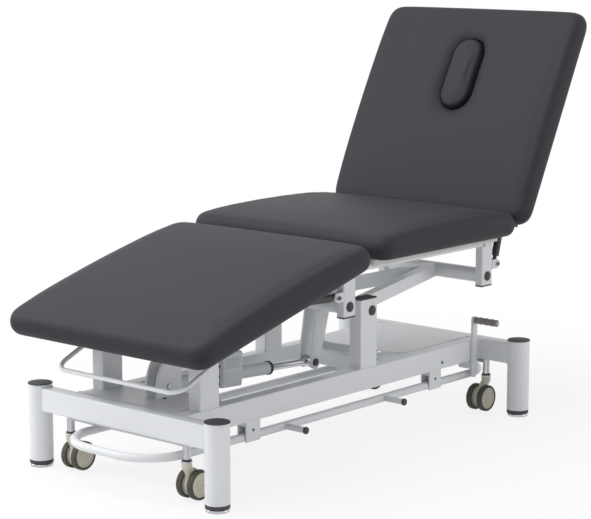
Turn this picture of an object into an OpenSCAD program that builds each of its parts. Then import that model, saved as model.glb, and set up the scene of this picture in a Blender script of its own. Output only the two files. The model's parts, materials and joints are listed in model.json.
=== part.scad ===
// Electric treatment couch with three upholstered sections on a parallelogram lift.
// Millimetres, +X towards the head end, +Z up, floor at zero.

/* [Base] */
// Distance between leg centres along the couch
base_l = 1246; // [1150:10:1350]
// Distance between leg centres across the couch
base_w = 624; // [600:4:660]
// Outer diameter of a leg tube
leg_d = 62; // [54:1:64]
// Wall of a leg tube
leg_wall = 2.5; // [1.5:0.5:4]
// Height of the top of a leg tube
leg_top = 218; // [214:1:260]
// Height of the plastic cap on a leg
leg_cap_h = 5.5; // [4:0.5:12]
// Height of the levelling foot below a leg
foot_h = 9; // [6:0.5:12]
// Diameter of a levelling foot
foot_d = 56; // [44:1:58]
// Height of the plastic collar between leg and levelling foot
collar_h = 10; // [8:1:16]
// Width of a side rail or end beam
rail_w = 40; // [32:1:44]
// Height of a side rail or end beam
rail_h = 60; // [50:1:62]
// Height of the underside of the rails
rail_z = 150; // [146:1:154]
// Width over the outer faces of the two side rails
rails_outer_w = 380; // [360:2:400]
// Wall of the square and rectangular tubes
tube_wall = 2.5; // [1.5:0.5:3.5]
// Thickness of the cover sheets
sheet_t = 2; // [1:0.5:3]
// Length of the cover sheet at the foot end
cover_foot_l = 170; // [150:5:180]
// Length of the cover sheet at the head end
cover_head_l = 325; // [250:5:340]

/* [Posts] */
// Length of a post along the couch
post_l = 70; // [60:1:76]
// Height of the top of the posts at the foot end
post_foot_top = 376; // [372:1:378]
// Height of the top of the posts in the middle
post_mid_top = 396; // [386:1:410]
// Height of the plastic cap in a post
post_cap_h = 4; // [2:0.5:4]
// Distance from a post's middle to its pivot
pivot_offset = 12; // [0:1:16]

/* [Lift] */
// Height of the lower lift pivots
pivot_z = 364; // [358:1:366]
// Distance between the two lower lift pivots
pivot_span = 618; // [600:2:640]
// Place of the middle pivot, head side of the base's middle
pivot_mid_x = 111; // [90:1:120]
// Distance between the two pivots of a lift arm
arm_l = 525; // [500:1:540]
// Angle of the lift arms above the horizontal as shown
arm_angle = 2.5; // [2:0.1:4]
// Outer diameter of the cross tubes of a lift arm
arm_tube_d = 42; // [36:1:44]
// Height of the slanting bars of a lift arm
arm_bar_h = 36; // [30:1:38]
// Width of the slanting bars of a lift arm
arm_bar_w = 28; // [20:1:32]
// Diameter of the pivot pins
pin_d = 16; // [12:1:20]
// Distance from the middle pivot to the pin of the crank
crank_r = 164; // [150:1:166]
// Angle of the crank behind the vertical as shown
crank_angle = 13; // [8:1:20]
// Thickness of a crank plate
crank_t = 6; // [4:1:8]

/* [Actuator] */
// Distance from the middle of the foot-end beam to the rear pin of the actuator
rear_from_beam = 135; // [125:1:145]
// Height of the rear pin of the actuator
actuator_rear_z = 236; // [228:1:244]
// Diameter of the outer tube of the actuator
actuator_d = 34; // [30:1:40]
// Diameter of the piston rod of the actuator
actuator_rod_d = 20; // [16:1:22]
// Length of the outer tube of the actuator
actuator_tube_l = 350; // [330:5:360]
// Distance from the rear pin of the actuator to its motor housing
motor_from_pin = 178; // [150:1:190]
// Length of the motor housing along the couch
motor_l = 84; // [70:1:90]
// Width of the motor housing across the couch
motor_w = 70; // [60:1:80]
// Height of the motor housing
motor_h = 92; // [80:1:96]

/* [Upper frame] */
// Width of the frame tubes across the couch
frame_w = 25; // [20:1:28]
// Height of the frame rails
frame_h = 35; // [30:1:38]
// Height of the underside of the frame rails
frame_z = 475; // [470:1:478]
// Length of a drop leg along the couch
drop_l = 50; // [44:1:54]
// How far a drop leg reaches below its pivot
drop_below = 26; // [22:1:28]

/* [Pads] */
// Width of the three pads
pad_w = 700; // [640:2:710]
// Thickness of the pads without their crown
pad_t = 68; // [60:1:70]
// Height of the underside of the level pads
pad_z = 528; // [526:1:530]
// Rise of the middle of a pad
pad_crown = 18; // [8:1:20]
// Corner radius of a pad seen from above
pad_corner_r = 60; // [40:1:70]
// Height of the rounded upper edge of a pad
pad_edge_h = 34; // [24:1:38]
// Width of the rounded upper edge of a pad
pad_edge_w = 24; // [16:1:28]
// How far the sides are drawn in at the underside
pad_tuck = 15; // [6:1:18]
// Length of the foot pad
foot_pad_l = 670; // [620:5:700]
// Length of the seat pad
seat_pad_l = 605; // [580:5:620]
// Length of the back pad
back_pad_l = 650; // [620:5:700]
// Place of the foot side of the seat pad along the couch
seat_x = -33; // [-36:1:-28]
// Thickness of the boards below the foot and back pads
ply_t = 12; // [8:1:14]

/* [Foot section] */
// Slope of the foot section as shown
foot_angle = 15; // [12:0.5:15]
// Place of the foot section's hinge along the couch
foot_hinge_x = -30; // [-34:1:-28]
// Height of the foot section's hinge
foot_hinge_z = 500; // [497:1:502]
// Length of the frame tubes below the foot pad
foot_frame_l = 330; // [250:5:340]
// Diameter of the rod of the roll holder
bail_d = 12; // [8:1:14]

/* [Backrest] */
// Slope of the backrest as shown
back_angle = 63; // [50:1:63]
// Distance from the seat pad's end to the backrest's hinge
back_gap = 54; // [52:1:60]
// Distance from the backrest's hinge to the lower end of its pad
back_offset = 17; // [17:1:24]
// Height of the backrest's hinge
back_hinge_z = 516; // [516:1:517]
// Length of the frame tubes behind the back pad
back_frame_l = 325; // [300:5:330]
// Length of the face opening
face_l = 222; // [190:2:240]
// Width of the face opening
face_w = 100; // [84:2:110]
// Distance from the top edge of the back pad to the face opening's middle
face_from_top = 220; // [200:5:230]

/* [Controls and castors] */
// Diameter of the foot bar's tube
bar_d = 22; // [18:1:24]
// Height of the middle of the foot bar
bar_z = 108; // [104:1:110]
// Length over the middle of the foot bar's tube
bar_l = 1406; // [1390:2:1420]
// Width over the middle of the foot bar's tube
bar_w = 340; // [334:1:346]
// Length of a peg on the foot bar
peg_l = 72; // [50:2:90]
// Diameter of the castor wheels
wheel_d = 75; // [66:1:76]
// Width of one castor wheel
wheel_w = 18; // [14:1:20]
// Distance from the swivel axis to the wheel axle
castor_trail = 24; // [18:1:26]
// Clear space between the foot bar and the stems of the castors
bar_to_stem = 14; // [11:1:17]
// How far the wheels hang above the floor as shown
castor_lift = 4; // [3:0.5:6]
// Distance from the castor lever's pivot to its top
lever_l = 142; // [130:1:160]
// Diameter of the lever's grip
grip_d = 20; // [16:1:24]
// Length of the lever's grip
grip_l = 78; // [70:2:90]

/* [Hidden] */

// Colours
frame_white = [0.88, 0.89, 0.90];
pad_grey = [0.21, 0.21, 0.23];
cap_black = [0.06, 0.06, 0.07];
chrome_grey = [0.75, 0.76, 0.78];
motor_grey = [0.62, 0.64, 0.66];
grip_brown = [0.27, 0.24, 0.24];
ply_brown = [0.72, 0.60, 0.42];
wheel_beige = [0.74, 0.72, 0.64];

// Clearances
fit = 0.05;
gap = 0.3;
open_fit = 1;
overrun = 5;
side_gap = 1;
seat_gap = 0.3;

// Rows of places
ends = [-1, 1];
corners = [[-1, -1], [-1, 1], [1, -1], [1, 1]];

// Diameter of the backrest's knuckles
back_knuckle_d = 18;

// Places worked out from the sizes above
rail_y = rails_outer_w / 2 - rail_w / 2;
rail_top = rail_z + rail_h;
rail_in = rails_outer_w / 2 - rail_w;
rails_end = base_l / 2 - rail_w / 2;
leg_bottom = foot_h + collar_h;
actuator_rear_x = rear_from_beam - base_l / 2;
pivot_foot_x = pivot_mid_x - pivot_span;
arm_dx = arm_l * cos(arm_angle);
arm_dz = arm_l * sin(arm_angle);
drop_foot_x = pivot_foot_x + arm_dx;
drop_head_x = pivot_mid_x + arm_dx;
drop_z = pivot_z + arm_dz;
frame_y = rails_outer_w / 2 - frame_w / 2;
frame_in = rails_outer_w / 2 - frame_w;
frame_top = frame_z + frame_h;
frame_x0 = drop_foot_x - drop_l / 2;
drop_face_x = drop_head_x + drop_l / 2;
back_hinge_x = seat_x + seat_pad_l + back_gap;
frame_x1 = max(drop_face_x, back_hinge_x + back_knuckle_d);
crank_pin_x = pivot_mid_x - crank_r * sin(crank_angle);
crank_pin_z = pivot_z - crank_r * cos(crank_angle);
castor_inset = 6;
castor_x = base_l / 2 - castor_inset;
axle_z = wheel_d / 2 + castor_lift;

// Small sizes of the pieces
cap_d = 25;
cap_t = 5;
round_r = 3;
rail_corner_r = 4;
washer_t = 3;
crank_gap = 34;
crank_eye_r = 19;
ring_wall = 8;
hinge_pin_d = 12;

module placed() {
    translate([-outline_mid, 0, 0]) children();
}

// Straight cylinder along Y, centred
module rod_y(d, l) {
    rotate([90, 0, 0]) cylinder(d = d, h = l, center = true, $fn = 64);
}

// Box with its middle at a given place
module block(x, y, z, size) {
    translate([x, y, z]) cube(size, center = true);
}

// Rectangle with round corners
module round_rect(w, h, r) {
    hx = w / 2 - r;
    hy = h / 2 - r;
    union() {
        square([w - 2 * r, h], center = true);
        square([w, h - 2 * r], center = true);
        for (x = [-hx, hx], y = [-hy, hy]) translate([x, y]) circle(r = r, $fn = 32);
    }
}

// Rectangular tube along Z with round corners
module tube_z(w, d, h, wall) {
    difference() {
        linear_extrude(h) round_rect(w, d, rail_corner_r);
        translate([0, 0, -overrun]) cube_z(w - 2 * wall, d - 2 * wall, h + 2 * overrun);
    }
}

module cube_z(w, d, h) {
    translate([-w / 2, -d / 2, 0]) cube([w, d, h]);
}

// Rectangular tube along X, from the origin
module tube_x(l, w, h, wall) {
    rotate([90, 0, 90]) tube_z(w, h, l, wall);
}

// Rectangular tube along Y, centred
module tube_y(l, w, h, wall) {
    rotate([90, 0, 0]) translate([0, 0, -l / 2]) tube_z(w, h, l, wall);
}

// Base frame

module side_rails() {
    color(frame_white) placed() for (s = ends)
        translate([-rails_end, s * rail_y, rail_z + rail_h / 2]) tube_x(2 * rails_end, rail_w, rail_h, tube_wall);
}

module end_beams() {
    color(frame_white) placed() for (s = ends) difference() {
        translate([s * base_l / 2, 0, rail_z + rail_h / 2]) tube_y(base_w, rail_w, rail_h, tube_wall);
        for (t = ends) {
            translate([s * base_l / 2, t * base_w / 2, 0]) cylinder(d = leg_d, h = leg_top, $fn = 96);
            translate([s * castor_x, t * castor_w / 2, rail_z - overrun])
                cylinder(d = stem_d + 2 * fit, h = rail_h / 2 + overrun, $fn = 64);
        }
    }
}

cross_h = 38;
cross_w = 40;
cross_xs = [actuator_rear_x, pivot_mid_x + post_l * 2.2];

module cross_members() {
    color(frame_white) placed() for (x = cross_xs)
        translate([x, 0, rail_z + cross_h / 2]) tube_y(2 * rail_in, cross_w, cross_h, tube_wall);
}

anchor_t = 6;
anchor_gap = 30;
anchor_l = 88;
anchor_top = 298;
anchor_r = 105;

// Two upright plates with a curved foot side that hold the actuator's rear pin
module anchor_plates() {
    low = rail_z + cross_h;
    color(frame_white) placed() for (s = ends) difference() {
        intersection() {
            block(actuator_rear_x, s * (anchor_gap + anchor_t) / 2, (low + anchor_top) / 2,
                [anchor_l, anchor_t, anchor_top - low]);
            translate([actuator_rear_x + anchor_r - anchor_l / 2, 0, actuator_rear_z]) rod_y(2 * anchor_r, rail_in);
        }
        translate([actuator_rear_x, 0, actuator_rear_z]) rod_y(pin_d + 2 * fit, rail_in);
    }
}

module legs() {
    color(frame_white) placed() for (c = corners)
        translate([c[0] * base_l / 2, c[1] * base_w / 2, leg_bottom]) difference() {
            cylinder(d = leg_d, h = leg_top - leg_bottom, $fn = 96);
            translate([0, 0, -overrun])
                cylinder(d = leg_d - 2 * leg_wall, h = leg_top + overrun, $fn = 96);
        }
}

plug_h = 18;

// Cap with a slightly domed top, seated on the leg's rim
module leg_caps() {
    rim = 2;
    color(cap_black) placed() for (c = corners)
        translate([c[0] * base_l / 2, c[1] * base_w / 2, leg_top]) {
            rotate_extrude($fn = 96) polygon([
                [0, 0], [leg_d / 2 + rim / 2, 0], [leg_d / 2 + rim / 2, leg_cap_h * 0.6],
                [leg_d / 2 - rim, leg_cap_h], [0, leg_cap_h]]);
            translate([0, 0, -plug_h]) cylinder(d = leg_d - 2 * leg_wall - 2 * fit, h = plug_h, $fn = 96);
        }
}

// Collar with the nut for the levelling foot
module leg_collars() {
    color(cap_black) placed() for (c = corners)
        translate([c[0] * base_l / 2, c[1] * base_w / 2, foot_h]) difference() {
            union() {
                cylinder(d = leg_d, h = collar_h, $fn = 96);
                translate([0, 0, collar_h])
                    cylinder(d = leg_d - 2 * leg_wall - 2 * fit, h = plug_h, $fn = 96);
            }
            translate([0, 0, -overrun])
                cylinder(d = foot_stem_d + 2 * fit, h = collar_h + plug_h + 2 * overrun, $fn = 48);
        }
}

foot_stem_d = 14;
foot_stem_l = 60;

module level_foot(c) {
    chamfer = 2;
    color(chrome_grey) placed() translate([c[0] * base_l / 2, c[1] * base_w / 2, 0]) {
        rotate_extrude($fn = 96) polygon([
            [0, 0], [foot_d / 2 - chamfer, 0], [foot_d / 2, chamfer],
            [foot_d / 2, foot_h - chamfer - gap], [foot_d / 2 - chamfer, foot_h - gap], [0, foot_h - gap]]);
        cylinder(d = foot_stem_d, h = foot_stem_l, $fn = 48);
    }
}

module level_foot_1() { level_foot(corners[0]); }
module level_foot_2() { level_foot(corners[1]); }
module level_foot_3() { level_foot(corners[2]); }
module level_foot_4() { level_foot(corners[3]); }

lip_h = 14;

// Cover sheet with turned-down edges between the rails
module cover(l) {
    w = 2 * rail_in - 2 * gap;
    difference() {
        translate([0, -w / 2, rail_top - lip_h]) cube([l, w, lip_h + sheet_t]);
        translate([-overrun, -w / 2 + sheet_t, rail_top - lip_h - overrun])
            cube([l + 2 * overrun, w - 2 * sheet_t, lip_h + overrun]);
    }
}

// The foot cover has a slot round the anchor plates
module cover_foot() {
    slot_w = anchor_gap + 2 * anchor_t + 4 * side_gap;
    slot_x = actuator_rear_x - anchor_l / 2 - 2 * side_gap;
    color(frame_white) placed() difference() {
        translate([-rails_end + gap, 0, 0]) cover(cover_foot_l);
        translate([slot_x, -slot_w / 2, rail_z]) cube([cover_foot_l, slot_w, rail_h + overrun]);
    }
}

// The head cover has slanting corners at its free end
module cover_head() {
    cut = rail_in / 3;
    color(frame_white) placed() difference() {
        translate([rails_end - gap - cover_head_l, 0, 0]) cover(cover_head_l);
        for (s = ends) translate([rails_end - gap - cover_head_l, s * rail_in, rail_top])
            rotate([0, 0, 45]) cube([cut, cut, rail_h], center = true);
    }
}

// Posts

post_xs = [pivot_foot_x - pivot_offset, pivot_mid_x - pivot_offset];
post_tops = [post_foot_top, post_mid_top];

module posts() {
    color(frame_white) placed() for (i = [0, 1], s = ends) difference() {
        translate([post_xs[i], s * rail_y, rail_top]) tube_z(post_l, rail_w, post_tops[i] - rail_top, tube_wall);
        translate([post_xs[i] + pivot_offset, s * rail_y, pivot_z]) rod_y(pin_d + 2 * fit, 2 * rail_w);
    }
}

module post_caps() {
    sink = post_foot_top - pivot_z - pin_d / 2 - side_gap;
    color(cap_black) placed() for (i = [0, 1], s = ends) translate([post_xs[i], s * rail_y, post_tops[i]]) {
        linear_extrude(post_cap_h) round_rect(post_l, rail_w, rail_corner_r);
        translate([0, 0, -sink])
            cube_z(post_l - 2 * tube_wall - 2 * fit, rail_w - 2 * tube_wall - 2 * fit, sink);
    }
}

pivot_xs = [pivot_foot_x, pivot_mid_x];

module base_pins() {
    color(chrome_grey) placed() {
        for (x = pivot_xs) translate([x, 0, pivot_z]) rod_y(pin_d, rails_outer_w);
        translate([actuator_rear_x, 0, actuator_rear_z]) rod_y(pin_d, anchor_gap + 2 * anchor_t + 2 * washer_t);
    }
}

// Round cap over the end of a pivot pin
module pin_cap(s) {
    dome = 1.5;
    rotate([-90 * s, 0, 0]) rotate_extrude($fn = 48) polygon([
        [0, 0], [cap_d / 2, 0], [cap_d / 2, cap_t - dome], [cap_d / 2 - dome, cap_t], [0, cap_t]]);
}

module base_pin_caps() {
    color(cap_black) placed() for (x = pivot_xs, s = ends)
        translate([x, s * rails_outer_w / 2, pivot_z]) pin_cap(s);
}

// Forks that guide the foot bar below the rails, and the bearing of the castor lever
hanger_l = 52;
prong_t = 4;
hanger_root = 12;
bar_travel = 5;
hanger_xs = [-base_l * 0.286, base_l * 0.322];

module bar_hangers() {
    w = bar_d + 2 * gap + 2 * prong_t;
    low = bar_z - bar_d / 2;
    color(frame_white) placed() {
        for (x = hanger_xs, s = ends) translate([x, s * bar_w / 2, 0]) difference() {
            translate([0, 0, low]) cube_z(hanger_l, w, rail_z - low);
            translate([0, 0, low - overrun])
                cube_z(2 * hanger_l, w - 2 * prong_t, rail_z - hanger_root - low + overrun);
        }
        difference() {
            block(lever_x, -rail_y, (rail_z + lever_z - bearing_r) / 2,
                [2 * shaft_d, rail_w, rail_z - lever_z + bearing_r]);
            translate([lever_x, 0, lever_z]) rod_y(shaft_d + 2 * fit, 2 * rails_outer_w);
        }
    }
}

// Lift arms

// Cross tube with a bore for its pin
module arm_tube(l, bore) {
    solid_l = 24;
    difference() {
        rod_y(arm_tube_d, l);
        rod_y(bore, l + 2 * overrun);
        rod_y(arm_tube_d - ring_wall, l - 2 * solid_l);
    }
}

base_tube_l = 2 * rail_in - 2 * side_gap;
frame_tube_l = 2 * frame_in - 2 * side_gap;

module arm_tubes(x, far_bore) {
    translate([x, 0, pivot_z]) arm_tube(base_tube_l, pin_d + 2 * fit);
    translate([x + arm_dx, 0, drop_z]) arm_tube(frame_tube_l, far_bore);
}

// Slanting bars that join at the upper tube
module arm_bars(x) {
    spread = rail_in - side_gap - arm_bar_w;
    turn = atan(spread / arm_dx);
    l = norm([arm_dx, spread]);
    difference() {
        for (s = ends) translate([x, s * spread, pivot_z]) rotate([0, -arm_angle, -s * turn])
            translate([0, -arm_bar_w / 2, -arm_bar_h / 2]) cube([l + arm_bar_w, arm_bar_w, arm_bar_h]);
        translate([x, 0, pivot_z]) rod_y(arm_tube_d, rails_outer_w);
        translate([x + arm_dx, 0, drop_z]) rod_y(arm_tube_d, rails_outer_w);
        block(x + arm_dx + arm_tube_d, 0, drop_z, [2 * arm_tube_d, rails_outer_w, 2 * arm_tube_d]);
    }
}

// Pair of crank plates that hang from an arm's lower tube
module crank_plates(x, r, angle, eye_r, bore) {
    for (s = ends) difference() {
        translate([x, s * (crank_gap + crank_t) / 2, pivot_z]) rotate([90, 0, 0])
            linear_extrude(crank_t, center = true) crank_outline(r, angle, eye_r);
        translate([x, 0, pivot_z]) rod_y(arm_tube_d, rails_outer_w);
        translate([x - r * sin(angle), 0, pivot_z - r * cos(angle)]) rod_y(bore, rails_outer_w);
    }
}

// Outline of a crank plate, wide at the tube and round at its pin
module crank_outline(r, angle, eye_r) {
    head_r = arm_tube_d / 2 + crank_t;
    rotate(-angle) hull() {
        circle(r = head_r, $fn = 32);
        translate([0, -r]) circle(r = eye_r, $fn = 32);
    }
}

module head_arm_tubes() {
    color(frame_white) placed() arm_tubes(pivot_mid_x, pin_d + 2 * fit);
}

module head_arm_bars() {
    color(frame_white) placed() arm_bars(pivot_mid_x);
}

module head_crank() {
    color(frame_white) placed()
        crank_plates(pivot_mid_x, crank_r, crank_angle, crank_eye_r, pin_d + 2 * fit);
}

module foot_arm_tubes() {
    color(frame_white) placed() arm_tubes(pivot_foot_x, pin_d + 2 * open_fit);
}

module foot_arm_bars() {
    color(frame_white) placed() arm_bars(pivot_foot_x);
}

// Actuator, drawn along X from its rear pin and turned towards the crank pin

actuator_dx = crank_pin_x - actuator_rear_x;
actuator_dz = crank_pin_z - actuator_rear_z;
actuator_l = norm([actuator_dx, actuator_dz]);
actuator_tilt = atan2(actuator_dz, actuator_dx);
eye_d = 32;
actuator_eye_w = anchor_gap - 2 * side_gap;
neck = anchor_l / 2 + 2 * side_gap;

module along_actuator() {
    translate([actuator_rear_x, 0, actuator_rear_z]) rotate([0, -actuator_tilt, 0]) children();
}

module rod_x(d, l) {
    rotate([0, 90, 0]) cylinder(d = d, h = l, $fn = 64);
}

module actuator_tube() {
    color(motor_grey) placed() along_actuator() difference() {
        union() {
            rod_y(eye_d, actuator_eye_w);
            translate([0, -actuator_eye_w / 2, -eye_d / 4]) cube([neck, actuator_eye_w, eye_d / 2]);
            translate([neck, 0, 0]) rod_x(actuator_d, actuator_tube_l);
        }
        rod_y(pin_d + 2 * fit, rail_in);
        translate([2 * neck, 0, 0]) rod_x(actuator_rod_d + 2 * fit, actuator_tube_l);
    }
}

module actuator_motor() {
    rise = 20;
    color(motor_grey) placed() along_actuator() difference() {
        translate([motor_from_pin + motor_l / 2, 0, -motor_h / 2 + rise]) linear_extrude(motor_h)
            round_rect(motor_l, motor_w, 4 * round_r);
        translate([-overrun, 0, 0]) rod_x(actuator_d + 2 * fit, actuator_tube_l);
    }
}

// The rod's eye stands between the crank plates with no pin through them
module actuator_rod() {
    bury = 160;
    eye_w = crank_gap - 2 * side_gap;
    start = neck + actuator_tube_l - bury;
    color(chrome_grey) placed() along_actuator() {
        translate([start, 0, 0]) rod_x(actuator_rod_d, actuator_l - start);
        translate([actuator_l, 0, 0]) rod_y(eye_d, eye_w);
    }
}

// Upper frame

module frame_rails() {
    color(frame_white) placed() for (s = ends)
        translate([frame_x0, s * frame_y, frame_z + frame_h / 2])
            tube_x(frame_x1 - frame_x0, frame_w, frame_h, tube_wall);
}

frame_cross_shares = [0.08, 0.42, 0.74];
frame_cross_w = 30;
frame_cross_h = 25;

module frame_crosses() {
    color(frame_white) placed() for (k = frame_cross_shares)
        translate([frame_x0 + k * (frame_x1 - frame_x0), 0, frame_top - frame_cross_h / 2])
            tube_y(2 * frame_in, frame_cross_w, frame_cross_h, tube_wall);
}

drop_xs = [drop_foot_x, drop_head_x];

module drop_legs() {
    low = drop_z - drop_below;
    color(frame_white) placed() for (x = drop_xs, s = ends) difference() {
        translate([x, s * frame_y, low]) tube_z(drop_l, frame_w, frame_z - low, tube_wall);
        translate([x, s * frame_y, drop_z]) rod_y(pin_d + 2 * fit, 2 * frame_w);
    }
}

module drop_leg_caps() {
    sink = 6;
    color(cap_black) placed() for (x = drop_xs, s = ends)
        translate([x, s * frame_y, drop_z - drop_below - post_cap_h]) {
            linear_extrude(post_cap_h) round_rect(drop_l, frame_w, rail_corner_r);
            translate([0, 0, post_cap_h])
                cube_z(drop_l - 2 * tube_wall - 2 * fit, frame_w - 2 * tube_wall - 2 * fit, sink);
        }
}

module frame_pins() {
    color(chrome_grey) placed() {
        for (x = drop_xs) translate([x, 0, drop_z]) rod_y(pin_d, rails_outer_w);
        translate([foot_hinge_x, 0, foot_hinge_z]) rod_y(hinge_pin_d, rails_outer_w - frame_w + ear_t);
        translate([back_hinge_x, 0, back_hinge_z]) rod_y(back_pin_d, rails_outer_w + 2 * ear_t);
        for (s = ends) {
            translate([foot_lug_x, s * strut_y, lug_z]) rod_y(strut_pin_d, strut_pin_l);
            translate([back_lug_x, s * strut_y, lug_z]) rod_y(strut_pin_d, strut_pin_l);
        }
    }
}

module frame_pin_caps() {
    color(cap_black) placed() for (x = drop_xs, s = ends)
        translate([x, s * rails_outer_w / 2, drop_z]) pin_cap(s);
}

// Ears for the hinges and the struts
ear_t = 5;
ear_r = 13;
lug_reach = 22;
hinge_clear_d = hinge_pin_d + 2 * fit;
back_pin_d = 9;
back_clear_d = back_pin_d + 2 * fit;
lug_rise_share = 0.6;
lug_z = drop_z + drop_l * lug_rise_share;
foot_lug_x = frame_x0 - lug_reach;
back_lug_x = drop_face_x + lug_reach;
strut_d = 22;
strut_rod_d = 10;
strut_pin_d = 8;
strut_eye_w = 12;
strut_y = rails_outer_w / 2 - ear_t - side_gap / 2 - strut_eye_w / 2;
strut_pin_l = strut_eye_w + side_gap + 2 * ear_t;

// Ear from a tube face at x to a round end at the pin
module ear(x_face, x_pin, z_pin, y, bore) {
    difference() {
        union() {
            translate([x_pin, y, z_pin]) rod_y(2 * ear_r, ear_t);
            block((x_face + x_pin) / 2, y, z_pin, [abs(x_face - x_pin), ear_t, 2 * ear_r]);
        }
        translate([x_pin, y, z_pin]) rod_y(bore, 3 * ear_t);
    }
}

module frame_lugs() {
    color(frame_white) placed() for (s = ends) {
        for (t = ends) {
            y = s * strut_y + t * (strut_eye_w + side_gap + ear_t) / 2;
            ear(frame_x0, foot_lug_x, lug_z, y, strut_pin_d + 2 * fit);
            ear(drop_face_x, back_lug_x, lug_z, y, strut_pin_d + 2 * fit);
        }
        ear(frame_x0, foot_hinge_x, foot_hinge_z, s * frame_y, hinge_clear_d);
        for (y = [frame_in - ear_t / 2, rails_outer_w / 2 + ear_t / 2]) back_ear(s * y);
    }
}

// Ear on the face of a rail for the backrest's hinge pin
module back_ear(y) {
    difference() {
        union() {
            block(back_hinge_x, y, (frame_z + back_hinge_z) / 2, [back_knuckle_d, ear_t, back_hinge_z - frame_z]);
            translate([back_hinge_x, y, back_hinge_z]) rod_y(back_knuckle_d, ear_t);
        }
        translate([back_hinge_x, y, back_hinge_z]) rod_y(back_clear_d, 3 * ear_t);
    }
}

board_inset = 60;

module seat_board() {
    x0 = frame_x0 + round_r;
    x1 = seat_x + seat_pad_l - board_inset / 2;
    w = pad_w - 2 * board_inset;
    color(ply_brown) placed() translate([x0, -w / 2, frame_top]) cube([x1 - x0, w, pad_z - seat_gap - frame_top]);
}

// Pads

// Middle of a round corner of a ring
function corner_mid(q, l, w, d) = [(q % 4 == 0 || q % 4 == 3 ? 1 : -1) * (l / 2 - d), (q % 4 < 2 ? 1 : -1) * (w / 2 - d)];

// Points of one ring of a cushion: a rectangle with round corners, drawn in on all sides
corner_steps = 6;
side_points = 5;
function ring(l, w, r, inset, z) = [
    for (q = [0:3])
        let (
            rr = max(r - inset, r / 4),
            a = corner_mid(q, l, w, inset + rr),
            b = corner_mid(q + 1, l, w, inset + rr),
            out = rr * [cos(90 * (q + 1)), sin(90 * (q + 1))]
        )
        each concat(
            [for (k = [0:corner_steps])
                let (t = 90 * (q + k / corner_steps)) [a[0] + rr * cos(t), a[1] + rr * sin(t), z]],
            [for (j = [1:side_points])
                let (p = a + (b - a) * j / (side_points + 1) + out) [p[0], p[1], z]]
        )
];

// Points of one ring round the face opening, as many as a cushion's ring has
function hole_ring(l, w, cx, grow, z) = [
    for (q = [0:3])
        let (
            r = w / 2 + grow,
            d = (l - w) / 2 * (q == 0 || q == 3 ? 1 : -1),
            round_end = q % 2 == 1,
            steps = round_end ? corner_steps + side_points + 1 : corner_steps
        )
        each concat(
            [for (k = [0:(round_end ? steps - 1 : steps)])
                let (t = 90 * (q + k / steps)) [cx + d + r * cos(t), r * sin(t), z]],
            round_end ? [] : [for (j = [1:side_points])
                [cx + d * (1 - 2 * j / (side_points + 1)), r * sin(90 * (q + 1)), z]]
        )
];

// Point between two rings
function between(a, b, k) = [for (i = [0:len(a) - 1]) a[i] + (b[i] - a[i]) * k];

// Rise of the crown, full in the middle and nothing at the rim
crown_power = 2.2;
function crown_at(x, y, l, w) =
    pad_crown * (1 - pow(abs(2 * x / l), crown_power)) * (1 - pow(abs(2 * y / w), crown_power));
function crowned(a, l, w, dx) = [for (p = a) [p[0], p[1], p[2] + crown_at(p[0] + dx, p[1], l, w)]];

// Rings from the underside and up the drawn-in side
side_steps = 3;
function side_rings(l, w, t) = [
    for (i = [0:side_steps])
        let (k = i / side_steps)
        ring(l, w, pad_corner_r, pad_tuck * pow(1 - k, 2), k * (t - pad_edge_h))
];

// Rings round the upper edge
edge_steps = 5;
function edge_rings(l, w, t) = [
    for (i = [1:edge_steps])
        let (a = 90 * i / edge_steps)
        ring(l, w, pad_corner_r, pad_edge_w * (1 - cos(a)), t - pad_edge_h * (1 - sin(a)))
];

crown_shares = [0.1, 0.24, 0.4, 0.58, 0.78];

// Plain pad: side and edge rings, then crown rings towards the middle
module cushion(l, w, t) {
    edges = edge_rings(l, w, t);
    top = edges[edge_steps - 1];
    n = len(top);
    spine = [for (p = top) [(p[0] > 0 ? 1 : -1) * l / 12, 0, t]];
    lifted = [for (r = concat(edges, [for (k = crown_shares) between(top, spine, k)])) crowned(r, l, w, 0)];
    rings = concat(side_rings(l, w, t), lifted);
    pts = concat([for (r = rings) for (p = r) p], [[0, 0, 0], [0, 0, t + pad_crown]]);
    m = len(rings);
    low = n * m;
    faces = concat(
        [for (j = [0:m - 2], i = [0:n - 1])
            let (a = j * n + i, b = j * n + (i + 1) % n, c = a + n, d = b + n) each [[a, c, b], [b, c, d]]],
        [for (i = [0:n - 1]) [low, i, (i + 1) % n]],
        [for (i = [0:n - 1]) [low + 1, (m - 1) * n + (i + 1) % n, (m - 1) * n + i]]
    );
    polyhedron(points = pts, faces = faces, convexity = 4);
}

// Pad with an oval opening through it
module cushion_with_hole(l, w, t, hole_l, hole_w, hole_x) {
    edges = edge_rings(l, w, t);
    top = edges[edge_steps - 1];
    n = len(top);
    hem = round_r;
    inner = hole_ring(hole_l, hole_w, hole_x, hem, t);
    upper = concat(
        edges,
        [for (k = crown_shares) between(top, inner, k)],
        [inner, hole_ring(hole_l, hole_w, hole_x, 0, t - hem)]
    );
    rings = concat(
        side_rings(l, w, t),
        [for (r = upper) crowned(r, l, w, 0)],
        [hole_ring(hole_l, hole_w, hole_x, 0, 0)]
    );
    pts = [for (r = rings) for (p = r) p];
    m = len(rings);
    faces = [for (j = [0:m - 1], i = [0:n - 1])
        let (a = j * n + i, b = j * n + (i + 1) % n, c = (a + n) % (n * m), d = (b + n) % (n * m))
        each [[a, c, b], [b, c, d]]];
    polyhedron(points = pts, faces = faces, convexity = 6);
}

module seat_pad() {
    color(pad_grey) placed() translate([seat_x + seat_pad_l / 2, 0, pad_z])
        cushion(seat_pad_l, pad_w, pad_t);
}

// Foot section, drawn level and turned about its hinge

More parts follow.
